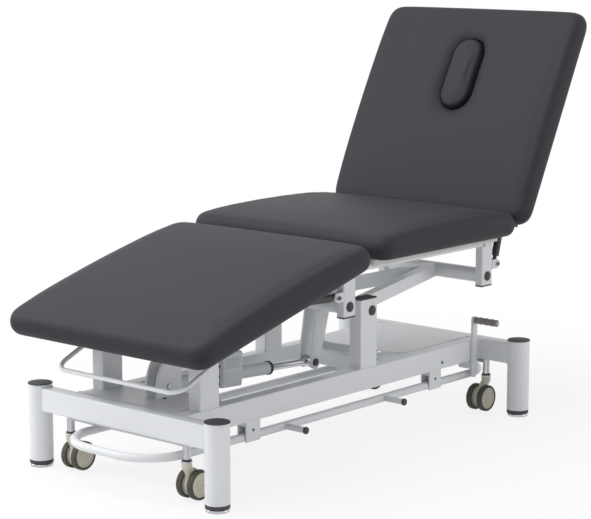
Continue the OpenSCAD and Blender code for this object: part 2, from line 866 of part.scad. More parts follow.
module foot_turned() {
    translate([foot_hinge_x, 0, foot_hinge_z]) rotate([0, -foot_angle, 0])
        translate([-foot_hinge_x, 0, -foot_hinge_z]) children();
}

section_gap = 17;
foot_pad_x1 = seat_x - section_gap;
section_tube = 25;
section_top = pad_z - seat_gap - ply_t;
section_y = 118;
knuckle_d = 24;

// Two tubes with a knuckle each round the hinge pin, and their cross tube
module foot_frame() {
    x0 = foot_hinge_x - foot_frame_l;
    z1 = section_top;
    color(frame_white) placed() foot_turned() {
        for (s = ends) difference() {
            union() {
                block(foot_hinge_x - foot_frame_l / 2, s * section_y, z1 - section_tube / 2,
                    [foot_frame_l, section_tube, section_tube]);
                translate([foot_hinge_x, s * section_y, foot_hinge_z]) rod_y(knuckle_d, section_tube);
            }
            translate([foot_hinge_x, 0, foot_hinge_z]) rod_y(hinge_clear_d, rails_outer_w);
        }
        translate([x0 + section_tube / 2, 0, z1 - section_tube / 2])
            tube_y(2 * section_y - section_tube, section_tube, section_tube, tube_wall);
        for (s = ends) difference() {
            union() {
                block(foot_strut_x, s * (section_y + section_tube / 2 + bracket_reach / 2), z1 - ear_t / 2,
                    [2 * ear_r, bracket_reach, ear_t]);
                block(foot_strut_x, s * bracket_y, (z1 + foot_strut_z) / 2,
                    [2 * ear_r, ear_t, z1 - foot_strut_z]);
                translate([foot_strut_x, s * bracket_y, foot_strut_z]) rod_y(2 * ear_r, ear_t);
            }
            translate([foot_strut_x, s * bracket_y, foot_strut_z]) rod_y(strut_pin_d + 2 * fit, 3 * ear_t);
        }
    }
}

bracket_reach = 34;
bracket_y = section_y + section_tube / 2 + bracket_reach - ear_t / 2;
foot_strut_share = 0.72;
foot_strut_x = foot_hinge_x - foot_frame_l * foot_strut_share;
foot_strut_z = section_top - 2 * ear_r;

module foot_board() {
    l = foot_frame_l + board_inset;
    w = 2 * rail_in - 2 * frame_w / 5;
    color(ply_brown) placed() foot_turned()
        translate([foot_hinge_x - l, -w / 2, section_top]) cube([l, w, ply_t]);
}

module foot_pad() {
    color(pad_grey) placed() foot_turned()
        translate([foot_pad_x1 - foot_pad_l / 2, 0, pad_z]) cushion(foot_pad_l, pad_w, pad_t);
}

// Rod of the roll holder, bent from the pad's underside round the foot end
bail_half_w = 218;
bail_x = -655;
bail_z = 276;
bail_root_x = -540;
bail_root_z = 326;
bail_bend_r = 40;

module roll_bail() {
    plate_t = 3;
    root_top = foot_hinge_z - (foot_hinge_x - bail_root_x) * tan(foot_angle)
        + (pad_z - foot_hinge_z) / cos(foot_angle) - gap - plate_t;
    rise = atan2(bail_root_z - bail_z, bail_root_x - bail_x);
    l = norm([bail_root_x - bail_x, bail_root_z - bail_z]);
    color(frame_white) placed() {
        translate([bail_x, 0, bail_z]) rotate([0, -rise, 0]) {
            rod_y(bail_d, 2 * (bail_half_w - bail_bend_r));
            for (s = ends) {
                translate([bail_bend_r, s * (bail_half_w - bail_bend_r), 0]) rotate([0, 0, s > 0 ? 90 : 180])
                    rotate_extrude(angle = 90, $fn = 64) translate([bail_bend_r, 0]) circle(d = bail_d, $fn = 32);
                translate([bail_bend_r, s * bail_half_w, 0]) rod_x(bail_d, l - bail_bend_r + bail_d / 2);
            }
        }
        for (s = ends) translate([bail_root_x, s * bail_half_w, 0]) {
            translate([0, 0, bail_root_z - bail_d / 2]) cylinder(d = bail_d, h = root_top - bail_root_z + bail_d / 2, $fn = 32);
            translate([0, 0, root_top + plate_t / 2])
                rotate([0, -foot_angle, 0]) cube([4 * bail_d, 2 * bail_d, plate_t], center = true);
        }
    }
}

// Struts, each a cylinder and a rod between two eyes

// Turned place of a point of the foot section
function foot_spot(x, z) = [
    foot_hinge_x + (x - foot_hinge_x) * cos(foot_angle) - (z - foot_hinge_z) * sin(foot_angle),
    foot_hinge_z + (x - foot_hinge_x) * sin(foot_angle) + (z - foot_hinge_z) * cos(foot_angle)
];
foot_strut_end = foot_spot(foot_strut_x, foot_strut_z);

module strut_tube(x, z, l, tilt) {
    eye = 2 * strut_pin_d + 2 * round_r;
    translate([x, 0, z]) rotate([0, -tilt, 0]) difference() {
        union() {
            rod_y(eye, strut_eye_w);
            rod_x(strut_eye_w, eye);
            translate([eye, 0, 0]) rod_x(strut_d, l);
        }
        rod_y(strut_pin_d + 2 * fit, 2 * strut_eye_w);
        translate([2 * eye, 0, 0]) rod_x(strut_rod_d + 2 * fit, l);
    }
}

module strut_rod(x, z, start, l, tilt) {
    eye = 2 * strut_pin_d + 2 * round_r;
    translate([x, 0, z]) rotate([0, -tilt, 0]) {
        translate([start, 0, 0]) rod_x(strut_rod_d, l - start);
        translate([l, 0, 0]) rod_y(eye, strut_eye_w);
    }
}

foot_strut_l = norm(foot_strut_end - [foot_lug_x, lug_z]);
foot_strut_tilt = atan2(foot_strut_end[1] - lug_z, foot_strut_end[0] - foot_lug_x);
foot_strut_tube_l = 120;

module foot_strut_tube() {
    color(motor_grey) placed() for (s = ends) translate([0, s * strut_y, 0])
        strut_tube(foot_lug_x, lug_z, foot_strut_tube_l, foot_strut_tilt);
}

module foot_strut_rod() {
    color(chrome_grey) placed() for (s = ends) translate([0, s * strut_y, 0])
        strut_rod(foot_lug_x, lug_z, foot_strut_tube_l - strut_d, foot_strut_l, foot_strut_tilt);
}

// Backrest, drawn level and turned up about its hinge

back_pad_x0 = back_hinge_x + back_offset;

module back_turned() {
    translate([back_hinge_x, 0, back_hinge_z]) rotate([0, -back_angle, 0])
        translate([-back_hinge_x, 0, -back_hinge_z]) children();
}

back_mid_x = back_pad_x0 + back_pad_l / 2;
face_x = back_pad_x0 + back_pad_l - face_from_top;
back_y = section_y;
back_tube_z = section_top - section_tube / 2;

module back_frame() {
    color(cap_black) placed() back_turned() {
        for (s = ends) difference() {
            union() {
                block(back_hinge_x + back_frame_l / 2, s * back_y, back_tube_z,
                    [back_frame_l, section_tube, section_tube]);
                translate([back_hinge_x, s * back_y, back_hinge_z]) rod_y(back_knuckle_d, section_tube);
            }
            translate([back_hinge_x, 0, back_hinge_z]) rod_y(back_clear_d, rails_outer_w);
        }
        for (s = ends) back_bracket(s);
        for (k = [0.3, 1]) translate([back_hinge_x + k * back_frame_l - section_tube / 2, 0, back_tube_z])
            tube_y(2 * back_y - section_tube, section_tube, section_tube, tube_wall);
    }
}

// Eye plate for the strut, on an arm that reaches out from the tube
module back_bracket(s) {
    arm_z = section_top - ear_t / 2;
    block(back_strut_x, s * (back_y + section_tube / 2 + bracket_reach / 2), arm_z,
        [2 * ear_r, bracket_reach, ear_t]);
    difference() {
        union() {
            block(back_strut_x, s * bracket_y, (section_top + back_strut_z) / 2,
                [2 * ear_r, ear_t, section_top - back_strut_z]);
            translate([back_strut_x, s * bracket_y, back_strut_z]) rod_y(2 * ear_r, ear_t);
        }
        translate([back_strut_x, s * bracket_y, back_strut_z]) rod_y(strut_pin_d + 2 * fit, 3 * ear_t);
    }
}

module oval(l, w) {
    union() {
        square([l - w, w], center = true);
        for (s = ends) translate([s * (l - w) / 2, 0]) circle(d = w, $fn = 96);
    }
}

// The board's smaller opening leaves a ledge below the plug
ledge = 12;

module back_board() {
    w = pad_w - 2 * board_inset;
    x0 = back_hinge_x + knuckle_d;
    x1 = back_pad_x0 + back_pad_l - board_inset / 2;
    color(ply_brown) placed() back_turned() difference() {
        translate([x0, -w / 2, section_top]) cube([x1 - x0, w, ply_t]);
        translate([face_x, 0, section_top - overrun]) linear_extrude(pad_t)
            oval(face_l - 2 * ledge, face_w - 2 * ledge);
    }
}

module back_pad() {
    color(pad_grey) placed() back_turned() translate([back_mid_x, 0, pad_z])
        cushion_with_hole(back_pad_l, pad_w, pad_t, face_l, face_w, face_x - back_mid_x);
}

// Plug that fills the face opening and stands a little proud of the crown
module face_plug() {
    plug_gap = 1;
    proud = 6;
    color(pad_grey) placed() back_turned() translate([face_x, 0, pad_z])
        oval_plug(face_l - 2 * plug_gap, face_w - 2 * plug_gap, pad_t, proud);
}

// Oval plug with a rounded rim, whose top follows the crown of the pad round it
plug_rim_r = 10;
module oval_plug(l, w, t, proud) {
    dx = face_x - back_mid_x;
    rim = [for (i = [0:edge_steps]) let (a = 90 * i / edge_steps)
        hole_ring(l, w, 0, -plug_rim_r * (1 - cos(a)), t - plug_rim_r * (1 - sin(a)))];
    spine = hole_ring(l - w / 2, w / 12, 0, 0, t);
    raised = [for (k = crown_shares) [for (p = between(rim[edge_steps], spine, k)) p + [0, 0, proud * k * (2 - k)]]];
    rings = concat(
        [hole_ring(l, w, 0, 0, 0)],
        [for (r = concat(rim, raised)) crowned(r, back_pad_l, pad_w, dx)]
    );
    n = len(rings[0]);
    m = len(rings);
    low = n * m;
    peak = t + proud + crown_at(dx, 0, back_pad_l, pad_w);
    pts = concat([for (r = rings) for (p = r) p], [[0, 0, 0], [0, 0, peak]]);
    faces = concat(
        [for (j = [0:m - 2], i = [0:n - 1])
            let (a = j * n + i, b = j * n + (i + 1) % n, c = a + n, d = b + n) each [[a, c, b], [b, c, d]]],
        [for (i = [0:n - 1]) [low, i, (i + 1) % n]],
        [for (i = [0:n - 1]) [low + 1, (m - 1) * n + (i + 1) % n, (m - 1) * n + i]]
    );
    polyhedron(points = pts, faces = faces, convexity = 4);
}

back_strut_share = 0.86;
back_strut_x = back_hinge_x + back_frame_l * back_strut_share;
back_strut_z = section_top - 2 * ear_r;
function back_spot(x, z) = [
    back_hinge_x + (x - back_hinge_x) * cos(back_angle) - (z - back_hinge_z) * sin(back_angle),
    back_hinge_z + (x - back_hinge_x) * sin(back_angle) + (z - back_hinge_z) * cos(back_angle)
];
back_strut_end = back_spot(back_strut_x, back_strut_z);
back_strut_l = norm(back_strut_end - [back_lug_x, lug_z]);
back_strut_tilt = atan2(back_strut_end[1] - lug_z, back_strut_end[0] - back_lug_x);
back_strut_tube_l = 190;

module back_strut_tube() {
    color(cap_black) placed() for (s = ends) translate([0, s * strut_y, 0])
        strut_tube(back_lug_x, lug_z, back_strut_tube_l, back_strut_tilt);
}

module back_strut_rod() {
    color(chrome_grey) placed() for (s = ends) translate([0, s * strut_y, 0])
        strut_rod(back_lug_x, lug_z, back_strut_tube_l - strut_d - round_r, back_strut_l, back_strut_tilt);
}

// Ends of the whole outline, and the distance of its middle from the base's middle
outline_foot = bar_l / 2 + bar_d / 2;
outline_head = back_hinge_x + (back_offset + back_pad_l - board_inset / 2) * cos(back_angle)
    - (section_top - back_hinge_z) * sin(back_angle);
outline_mid = (outline_head - outline_foot) / 2;

// Foot bar

bar_bend_r = 115;
peg_xs = [-base_l * 0.178, base_l * 0.148];

module foot_bar() {
    hx = bar_l / 2 - bar_bend_r;
    hy = bar_w / 2 - bar_bend_r;
    color(frame_white) placed() {
        translate([0, 0, bar_z]) {
            for (s = ends) {
                translate([-hx, s * bar_w / 2, 0]) rod_x(bar_d, 2 * hx);
                translate([s * bar_l / 2, 0, 0]) rod_y(bar_d, 2 * hy);
            }
            for (q = [0:3]) translate([(q == 0 || q == 3 ? 1 : -1) * hx, (q < 2 ? 1 : -1) * hy, 0])
                rotate([0, 0, 90 * q]) rotate_extrude(angle = 90, $fn = 96)
                    translate([bar_bend_r, 0]) circle(d = bar_d, $fn = 32);
        }
        for (x = peg_xs) translate([x, -bar_w / 2 - peg_l / 2, bar_z]) rod_y(peg_d, peg_l);
    }
}

peg_d = 16;
peg_cap_t = 6;

module peg_caps() {
    color(cap_black) placed() for (x = peg_xs)
        translate([x, -bar_w / 2 - peg_l - peg_cap_t / 2, bar_z]) rod_y(peg_d + round_r, peg_cap_t);
}

// Castor lever

bearing_r = 9;
lever_x = base_l / 2 - leg_d / 2 - bar_d;
lever_z = rail_z - bearing_r - prong_t;
lever_below = 24;
lever_t = 7;
lever_y = -rails_outer_w / 2 - side_gap - lever_t / 2;
lever_w = 20;
shaft_d = 12;

module lever_arm() {
    shaft_l = rail_w + side_gap + lever_t / 2;
    color(frame_white) placed() {
        translate([lever_x, lever_y, lever_z]) rotate([90, 0, 0]) linear_extrude(lever_t, center = true)
            union() {
                circle(d = lever_w * 1.3, $fn = 48);
                translate([0, -lever_below]) circle(d = lever_w, $fn = 48);
                translate([-lever_w / 2, -lever_below]) square([lever_w, lever_l + lever_below - lever_w / 2]);
                translate([0, lever_l - lever_w / 2]) circle(d = lever_w, $fn = 48);
            }
        translate([lever_x, lever_y + shaft_l / 2, lever_z]) rod_y(shaft_d, shaft_l);
    }
}

module lever_grip() {
    color(grip_brown) placed()
        translate([lever_x, lever_y - lever_t / 2, lever_z + lever_l - lever_w / 2]) rotate([90, 0, 0])
            rotate_extrude($fn = 48) polygon([
                [0, 0], [grip_d * 0.42, 0], [grip_d / 2, grip_l * 0.12], [grip_d * 0.46, grip_l * 0.5],
                [grip_d / 2, grip_l * 0.88], [grip_d * 0.42, grip_l], [0, grip_l]]);
}

// Castors

stem_d = 20;
stem_in = 22;
castor_w = bar_w + bar_d + stem_d + 2 * bar_to_stem;
collar_d = 27;
castor_neck = 24;
castor_body_top = wheel_d + castor_lift + castor_neck;

// Steel stems that slide in the end beams, linked by shafts below the beams
module castor_stems() {
    shaft_z = rail_z - castor_drop - link_d / 2 - side_gap;
    color(chrome_grey) placed() {
        for (c = corners) translate([c[0] * castor_x, c[1] * castor_w / 2, castor_body_top + gap])
            difference() {
                cylinder(d = stem_d, h = rail_z + stem_in - castor_body_top, $fn = 64);
                translate([0, 0, -overrun]) cylinder(d = kingpin_d + 2 * fit, h = kingpin_l + overrun, $fn = 48);
            }
        for (s = ends) translate([s * castor_x, 0, shaft_z]) rod_y(link_d, castor_w - stem_d / 2);
        translate([-castor_x, 0, shaft_z]) rod_x(link_d, 2 * castor_x);
    }
}

link_d = 10;
castor_drop = 2;

kingpin_d = 10;
kingpin_l = 24;
wheel_gap = 18;
castor_body_w = 2 * wheel_w + wheel_gap;
axle_d = 8;

// Swivel body over the twin wheels, with its kingpin, collar and axle
module castor(c) {
    web = castor_body_w - 2 * wheel_w - 2 * side_gap;
    hood_r = wheel_d / 2 - 3 * round_r;
    color(wheel_beige) placed() translate([c[0] * castor_x, c[1] * castor_w / 2, 0]) {
        translate([0, 0, castor_body_top - collar_h]) cylinder(d = collar_d, h = collar_h, $fn = 48);
        translate([0, 0, castor_body_top]) cylinder(d = kingpin_d, h = kingpin_l - collar_h, $fn = 48);
        translate([0, 0, axle_z + hood_r * 0.2]) cube_z(collar_d * 0.8, web, castor_body_top - axle_z - hood_r * 0.2);
        translate([-c[0] * castor_trail, 0, axle_z]) rod_y(2 * hood_r, web);
        translate([-c[0] * castor_trail, 0, axle_z]) rod_y(axle_d, castor_body_w);
    }
}

module castor_1() { castor(corners[0]); }
module castor_2() { castor(corners[1]); }
module castor_3() { castor(corners[2]); }
module castor_4() { castor(corners[3]); }

// Pair of wheels with a bore for the axle
module wheels(c) {
    chamfer = 3;
    dish = 3;
    color(wheel_beige) placed() for (s = ends)
        translate([c[0] * (castor_x - castor_trail), c[1] * castor_w / 2, axle_z])
            rotate([-90 * s, 0, 0]) translate([0, 0, castor_body_w / 2 - wheel_w])
                rotate_extrude($fn = 96) polygon([
                    [axle_d / 2 + fit, 0], [wheel_d / 2 - chamfer, 0], [wheel_d / 2, chamfer],
                    [wheel_d / 2, wheel_w - chamfer], [wheel_d / 2 - chamfer, wheel_w],
                    [wheel_d * 0.36, wheel_w], [wheel_d * 0.33, wheel_w - dish],
                    [axle_d, wheel_w - dish], [axle_d, wheel_w], [axle_d / 2 + fit, wheel_w]]);
}

module wheels_1() { wheels(corners[0]); }
module wheels_2() { wheels(corners[1]); }
module wheels_3() { wheels(corners[2]); }
module wheels_4() { wheels(corners[3]); }

side_rails();
end_beams();
cross_members();
legs();
leg_caps();
leg_collars();
anchor_plates();
cover_foot();
cover_head();
posts();
post_caps();
base_pins();
base_pin_caps();
bar_hangers();
level_foot_1();
level_foot_2();
level_foot_3();
level_foot_4();
head_arm_tubes();
head_arm_bars();
head_crank();
foot_arm_tubes();
foot_arm_bars();
actuator_tube();
actuator_motor();
actuator_rod();
frame_rails();
frame_crosses();
drop_legs();
drop_leg_caps();
frame_lugs();
frame_pins();
frame_pin_caps();
seat_board();
seat_pad();
foot_frame();
foot_board();
foot_pad();
roll_bail();
foot_strut_tube();
foot_strut_rod();
back_frame();
back_board();
back_pad();
face_plug();
back_strut_tube();
back_strut_rod();
foot_bar();
peg_caps();
lever_arm();
lever_grip();
castor_stems();
castor_1();
castor_2();
castor_3();
castor_4();
wheels_1();
wheels_2();
wheels_3();
wheels_4();
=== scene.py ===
"""Electric treatment couch: upholstery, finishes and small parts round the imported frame. Metres."""

import json
import math

import bmesh
import bpy
import numpy as np
from bpy.props import FloatProperty, FloatVectorProperty, IntProperty, PointerProperty
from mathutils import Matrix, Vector


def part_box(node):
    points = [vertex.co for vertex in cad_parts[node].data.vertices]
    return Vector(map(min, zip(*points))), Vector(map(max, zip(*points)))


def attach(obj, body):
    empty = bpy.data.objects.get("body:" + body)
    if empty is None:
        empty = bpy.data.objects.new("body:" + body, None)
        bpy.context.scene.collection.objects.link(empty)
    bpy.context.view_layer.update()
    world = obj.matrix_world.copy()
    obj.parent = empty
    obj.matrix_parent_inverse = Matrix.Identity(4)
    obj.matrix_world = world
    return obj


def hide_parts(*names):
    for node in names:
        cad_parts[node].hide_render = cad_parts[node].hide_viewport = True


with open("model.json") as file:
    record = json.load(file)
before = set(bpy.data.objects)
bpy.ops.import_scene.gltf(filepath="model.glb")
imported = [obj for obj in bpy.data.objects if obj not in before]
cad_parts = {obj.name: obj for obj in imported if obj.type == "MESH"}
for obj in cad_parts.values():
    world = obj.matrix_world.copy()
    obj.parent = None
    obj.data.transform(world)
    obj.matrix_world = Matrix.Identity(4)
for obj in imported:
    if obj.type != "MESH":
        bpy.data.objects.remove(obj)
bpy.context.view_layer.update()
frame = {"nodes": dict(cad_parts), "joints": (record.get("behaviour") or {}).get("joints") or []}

bl_info = {
    "name": "Electric treatment couch",
    "version": (1, 0, 0),
    "blender": (4, 5, 0),
    "location": "View3D > Sidebar > Couch",
    "description": "Dresses the couch's frame with pads, finishes, fasteners and a studio stage",
    "category": "Object",
}

MM = 0.001
X_AXIS = np.array([1.0, 0.0, 0.0])
Y_AXIS = np.array([0.0, 1.0, 0.0])
Z_AXIS = np.array([0.0, 0.0, 1.0])
CORNERS = (1, 2, 3, 4)
WHEEL_WIDTH = 18 * MM
BEAM_WIDTH = 40 * MM
WORLD_LIGHT = 0.5


def srgb(red, green, blue):
    """Linear colour of an 8-bit display colour, by the display's own curve."""
    shares = np.array([red, green, blue]) / 255
    curved = np.where(shares <= 0.04045, shares / 12.92, ((shares + 0.055) / 1.055) ** 2.4)
    return tuple(float(c) for c in curved)


def length_property(name, description, size):
    """Length setting, with its size in millimetres."""
    return FloatProperty(name=name, description=description, default=size * MM, min=0.0, unit="LENGTH")


def colour_property(name, description, red, green, blue):
    """Colour setting, given as an 8-bit display colour."""
    tone = srgb(red, green, blue)
    return FloatVectorProperty(
        name=name, description=description, default=tone, size=3, min=0.0, max=1.0, subtype="COLOR")


class CouchSizes(bpy.types.PropertyGroup):
    """Sizes of the upholstery and the small parts."""

    roll_width: length_property("Roll width", "How far the rounded edge of a pad reaches inwards", 24)
    roll_height: length_property("Roll height", "Height of the rounded edge of a pad", 34)
    pad_corner: length_property("Pad corner", "Corner radius of a pad seen from above", 42)
    pad_tuck: length_property("Pad tuck", "How far the sides of a pad are drawn in below", 15)
    pad_crown: length_property("Pad crown", "Rise of a pad's middle above its edges", 18)
    pad_droop: length_property("Pad droop", "How much lower a pad is at its corners", 9)
    pad_side: length_property("Pad side", "Rise of the middle of a pad's long edges above its corners", 11)
    pad_slack: length_property("Pad slack", "How much smaller a pad is before its cover swells", 2.5)
    swell_limit: length_property("Swell limit", "Furthest that a point of a cover moves when it swells", 5)
    cover_mesh: length_property("Cover mesh", "Width of the meshes of a simulated cover", 7)
    dimple_depth: length_property("Dimple depth", "Depth of the hollow round the face opening", 12)
    dimple_reach: length_property("Dimple reach", "Reach of the hollow round the face opening", 34)
    plug_roll: length_property("Plug roll", "Radius of the plug's rounded rim", 11)
    plug_crown: length_property("Plug crown", "Rise of the plug's middle above its rim", 7)
    swell_pressure: FloatProperty(
        name="Swell pressure", description="Pressure inside a cover", default=4.0, min=0.0)
    swell_steps: IntProperty(name="Swell steps", description="Frames of the swelling", default=16, min=1)
    tyre_depth: length_property("Tyre depth", "Thickness of the tread round a castor wheel", 7)
    cap_dome: length_property("Cap dome", "Rise of the round caps over the pivots", 3.4)
    bolt_width: length_property("Bolt width", "Diameter of a button-head bolt", 12)
    weld_width: length_property("Weld width", "Width of a weld bead", 5)


class CouchColours(bpy.types.PropertyGroup):
    """Colours of the finishes."""

    paint: colour_property("Paint", "Powder coat of the base, the lift and the frame", 226, 228, 231)
    vinyl: colour_property("Vinyl", "Cover of the pads", 48, 46, 52)
    black_plastic: colour_property("Black plastic", "Caps and collars", 23, 22, 25)
    black_paint: colour_property("Black paint", "Tubes of the backrest and its struts", 30, 30, 32)
    steel: colour_property("Steel", "Bright steel", 196, 198, 202)
    motor: colour_property("Motor housing", "Grey plastic of the actuator", 150, 154, 158)
    grip: colour_property("Grip", "Moulded grip of the castor lever", 74, 69, 70)
    white_board: colour_property("White board", "Painted plywood below the seat pad", 214, 213, 210)
    black_board: colour_property("Black board", "Stained plywood below the other pads", 40, 38, 38)
    nylon: colour_property("Nylon", "Castor bodies and wheel centres", 205, 200, 184)
    tread: colour_property("Tread", "Tyres of the castors", 66, 66, 56)


def sizes():
    """Sizes as the panel holds them."""
    return bpy.context.scene.couch_sizes


def colours():
    """Colours as the panel holds them."""
    return bpy.context.scene.couch_colours


# Places that the frame gives


def low(node):
    """Lowest corner of a node."""
    return np.array(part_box(node)[0])


def high(node):
    """Highest corner of a node."""
    return np.array(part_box(node)[1])


def middle(node):
    """Middle of a node's box."""
    return (low(node) + high(node)) / 2


def joint(name):
    """Record of a joint."""
    return next(j for j in frame["joints"] if j["name"] == name)


def pivot(name):
    """Point on a joint's axis."""
    return np.array(joint(name)["pos_m"], float)


def quarters(node):
    """Lowest and highest corners of a node's four like parts, one in each quarter of its box from above."""
    points = node_points(node)
    side = points[:, :2] > middle(node)[:2]
    found = []
    for quarter in ((False, False), (False, True), (True, False), (True, True)):
        part = points[(side == quarter).all(axis=1)]
        found.append((part.min(axis=0), part.max(axis=0)))
    return found


def mesh_points(mesh):
    """Points of a mesh as an array."""
    flat = np.zeros(len(mesh.vertices) * 3, np.float32)
    mesh.vertices.foreach_get("co", flat)
    return flat.reshape(-1, 3).astype(float)


def node_points(node):
    """Points of a node's mesh as an array."""
    return mesh_points(frame["nodes"][node].data)


class Section:
    """Frame of a sloping section: along it, across it and out of it, from its hinge."""

    def __init__(self, hinge, slope):
        self.origin = np.array(hinge, float)
        self.along = np.array([math.cos(slope), 0.0, math.sin(slope)])
        self.out = np.array([-math.sin(slope), 0.0, math.cos(slope)])

    def inward(self, points):
        """Section coordinates of points of the couch."""
        moved = points - self.origin
        return np.stack([moved @ self.along, moved[:, 1], moved @ self.out], axis=1)

    def outward(self, points):
        """Points of the couch from section coordinates."""
        return self.origin + points[:, :1] * self.along + points[:, 1:2] * Y_AXIS + points[:, 2:3] * self.out

    def box(self, node):
        """Lowest and highest corner of a node in section coordinates."""
        points = self.inward(node_points(node))
        return points.min(axis=0), points.max(axis=0)


PLUG_AXIS = joint("plug_out")["axis"]
LEVEL = Section((0.0, 0.0, 0.0), 0.0)
FOOT = Section(pivot("foot_tilt"), math.radians(joint("foot_tilt")["range_deg"][1]))
BACK = Section(pivot("back_tilt"), math.atan2(-PLUG_AXIS[0], PLUG_AXIS[2]))
PISTON_AXIS = joint("raise_piston")["axis"]
LIFT = Section(pivot("raise_motor_tilt"), math.atan2(PISTON_AXIS[2], PISTON_AXIS[0]))


# Shapes: each is an array of points and an array of four-cornered faces


def grid_faces(rows, columns, rows_closed=False, columns_closed=True):
    """Faces between neighbouring lines of a grid; a closed direction joins its last line to its first."""
    i = np.arange(rows if rows_closed else rows - 1)[:, None]
    j = np.arange(columns if columns_closed else columns - 1)[None, :]
    i2 = (i + 1) % rows
    j2 = (j + 1) % columns
    corners = [i * columns + j, i * columns + j2, i2 * columns + j2, i2 * columns + j]
    return np.stack([np.broadcast_to(c, (i.size, j.size)).ravel() for c in corners], axis=1)


def joined(shapes):
    """Several shapes as one, with the faces of each counted on from the points before it."""
    counts = np.cumsum([0] + [len(points) for points, _ in shapes[:-1]])
    points = np.concatenate([points for points, _ in shapes])
    faces = np.concatenate([faces + count for (_, faces), count in zip(shapes, counts)])
    return points, faces


def unit(rows):
    """Rows made one long."""
    return rows / np.linalg.norm(rows, axis=1)[:, None]


def frame_of(axis):
    """Two directions square to an axis, and the axis, as rows."""
    axis = np.array(axis, float) / np.linalg.norm(axis)
    helper = X_AXIS if abs(axis[0]) < 0.8 else Y_AXIS
    side = np.cross(helper, axis)
    side /= np.linalg.norm(side)
    return np.stack([side, np.cross(axis, side), axis])


def placed(shape, origin, axis=Z_AXIS, along=None):
    """Shape drawn round the Z axis, turned to stand along an axis at a point."""
    points, faces = shape
    rows = frame_of(axis)
    if along is not None:
        rows[0] = along
        rows[1] = np.cross(rows[2], rows[0])
    return points @ rows + np.array(origin, float), faces


def millimetres(*numbers):
    """Pairs of a profile, given in millimetres one after the other."""
    return np.reshape(numbers, (-1, 2)) * MM


def lathe(profile, steps=48):
    """Profile of (radius, height) turned round Z, its ends on the axis: x = r cos a, y = r sin a, z = h."""
    profile = np.array(profile, float)
    angle = np.linspace(0, 2 * math.pi, steps, endpoint=False)
    radius = profile[:, :1]
    height = np.broadcast_to(profile[:, 1:2], (len(profile), steps))
    points = np.stack([radius * np.cos(angle), radius * np.sin(angle), height], axis=2)
    return points.reshape(-1, 3), grid_faces(len(profile), steps)


def ring_lathe(profile, steps=48):
    """Closed profile of (radius, height) turned round Z, as for a tyre: its last point joins its first."""
    points, _ = lathe(profile, steps)
    return points, grid_faces(len(profile), steps, rows_closed=True)


def swept(path, outline, reference, closed=False, scale=None):
    """Outline (n, 2) carried along a path (m, 3): point = path + scale (side u + up v), where side is square
    to the path and to the reference, and up to both. Open ends are drawn together on the path."""
    path = np.array(path, float)
    ahead = np.roll(path, -1, axis=0) - path
    behind = path - np.roll(path, 1, axis=0)
    tangent = unit(ahead) + unit(behind)
    if not closed:
        tangent[0] = ahead[0]
        tangent[-1] = behind[-1]
    tangent = unit(tangent)
    side = unit(np.cross(np.array(reference, float), tangent))
    up = np.cross(tangent, side)
    outline = np.array(outline, float)
    factor = 1.0 if scale is None else np.array(scale, float)[:, None, None]
    around = outline[None, :, :1] * side[:, None] + outline[None, :, 1:] * up[:, None]
    rings = path[:, None] + factor * around
    if not closed:
        first = np.broadcast_to(path[0], rings[0].shape)[None]
        last = np.broadcast_to(path[-1], rings[0].shape)[None]
        rings = np.concatenate([first, rings, last])
    return rings.reshape(-1, 3), grid_faces(len(rings), len(outline), rows_closed=closed)


def evenly(path, step, closed=False):
    """Points at even steps along a path of straight runs."""
    path = np.array(path, float)
    if closed:
        path = np.concatenate([path, path[:1]])
    lengths = np.linalg.norm(np.diff(path, axis=0), axis=1)
    path = path[np.concatenate([[True], lengths > 1e-9])]
    travelled = np.concatenate([[0.0], np.cumsum(np.linalg.norm(np.diff(path, axis=0), axis=1))])
    count = max(3, round(travelled[-1] / step))
    places = np.linspace(0, travelled[-1], count, endpoint=not closed)
    return np.stack([np.interp(places, travelled, path[:, axis]) for axis in range(3)], axis=1)


def circle(diameter, steps=24):
    """Points of a circle."""
    angle = np.linspace(0, 2 * math.pi, steps, endpoint=False)
    return np.stack([np.cos(angle), np.sin(angle)], axis=1) * diameter / 2


def round_rectangle(width, height, radius, steps=6):
    """Rectangle with round corners: each quarter is an arc round its corner's centre."""
    quarter = np.repeat(np.arange(4), steps + 1)
    angle = (quarter + np.tile(np.linspace(0, 1, steps + 1), 4)) * math.pi / 2
    sign_x = np.where((quarter == 0) | (quarter == 3), 1, -1)
    sign_y = np.where(quarter < 2, 1, -1)
    x = sign_x * (width / 2 - radius) + radius * np.cos(angle)
    y = sign_y * (height / 2 - radius) + radius * np.sin(angle)
    return np.stack([x, y], axis=1)


def lofted(rows, centre=(0.0, 0.0)):
    """Round rectangles stacked along Z, closed below and above. A row is (height, width, depth, corner
    radius), and may have a shift along X as well."""
    rings = []
    for row in rows:
        height, width, depth, corner = row[:4]
        shift = row[4] if len(row) > 4 else 0.0
        flat = round_rectangle(width, depth, corner) + [centre[0] + shift, centre[1]]
        rings.append(np.column_stack([flat, np.full(len(flat), height)]))
    first = np.broadcast_to(rings[0].mean(axis=0), rings[0].shape)
    last = np.broadcast_to(rings[-1].mean(axis=0), rings[0].shape)
    rings = np.stack([first] + rings + [last])
    return rings.reshape(-1, 3), grid_faces(len(rings), rings.shape[1])


def stacked(width, depth, corner, profile):
    """Round rectangle drawn in by the inset at each (inset, height) of a profile."""
    return lofted([(h, width - 2 * i, depth - 2 * i, max(corner - i, corner / 4)) for i, h in profile])


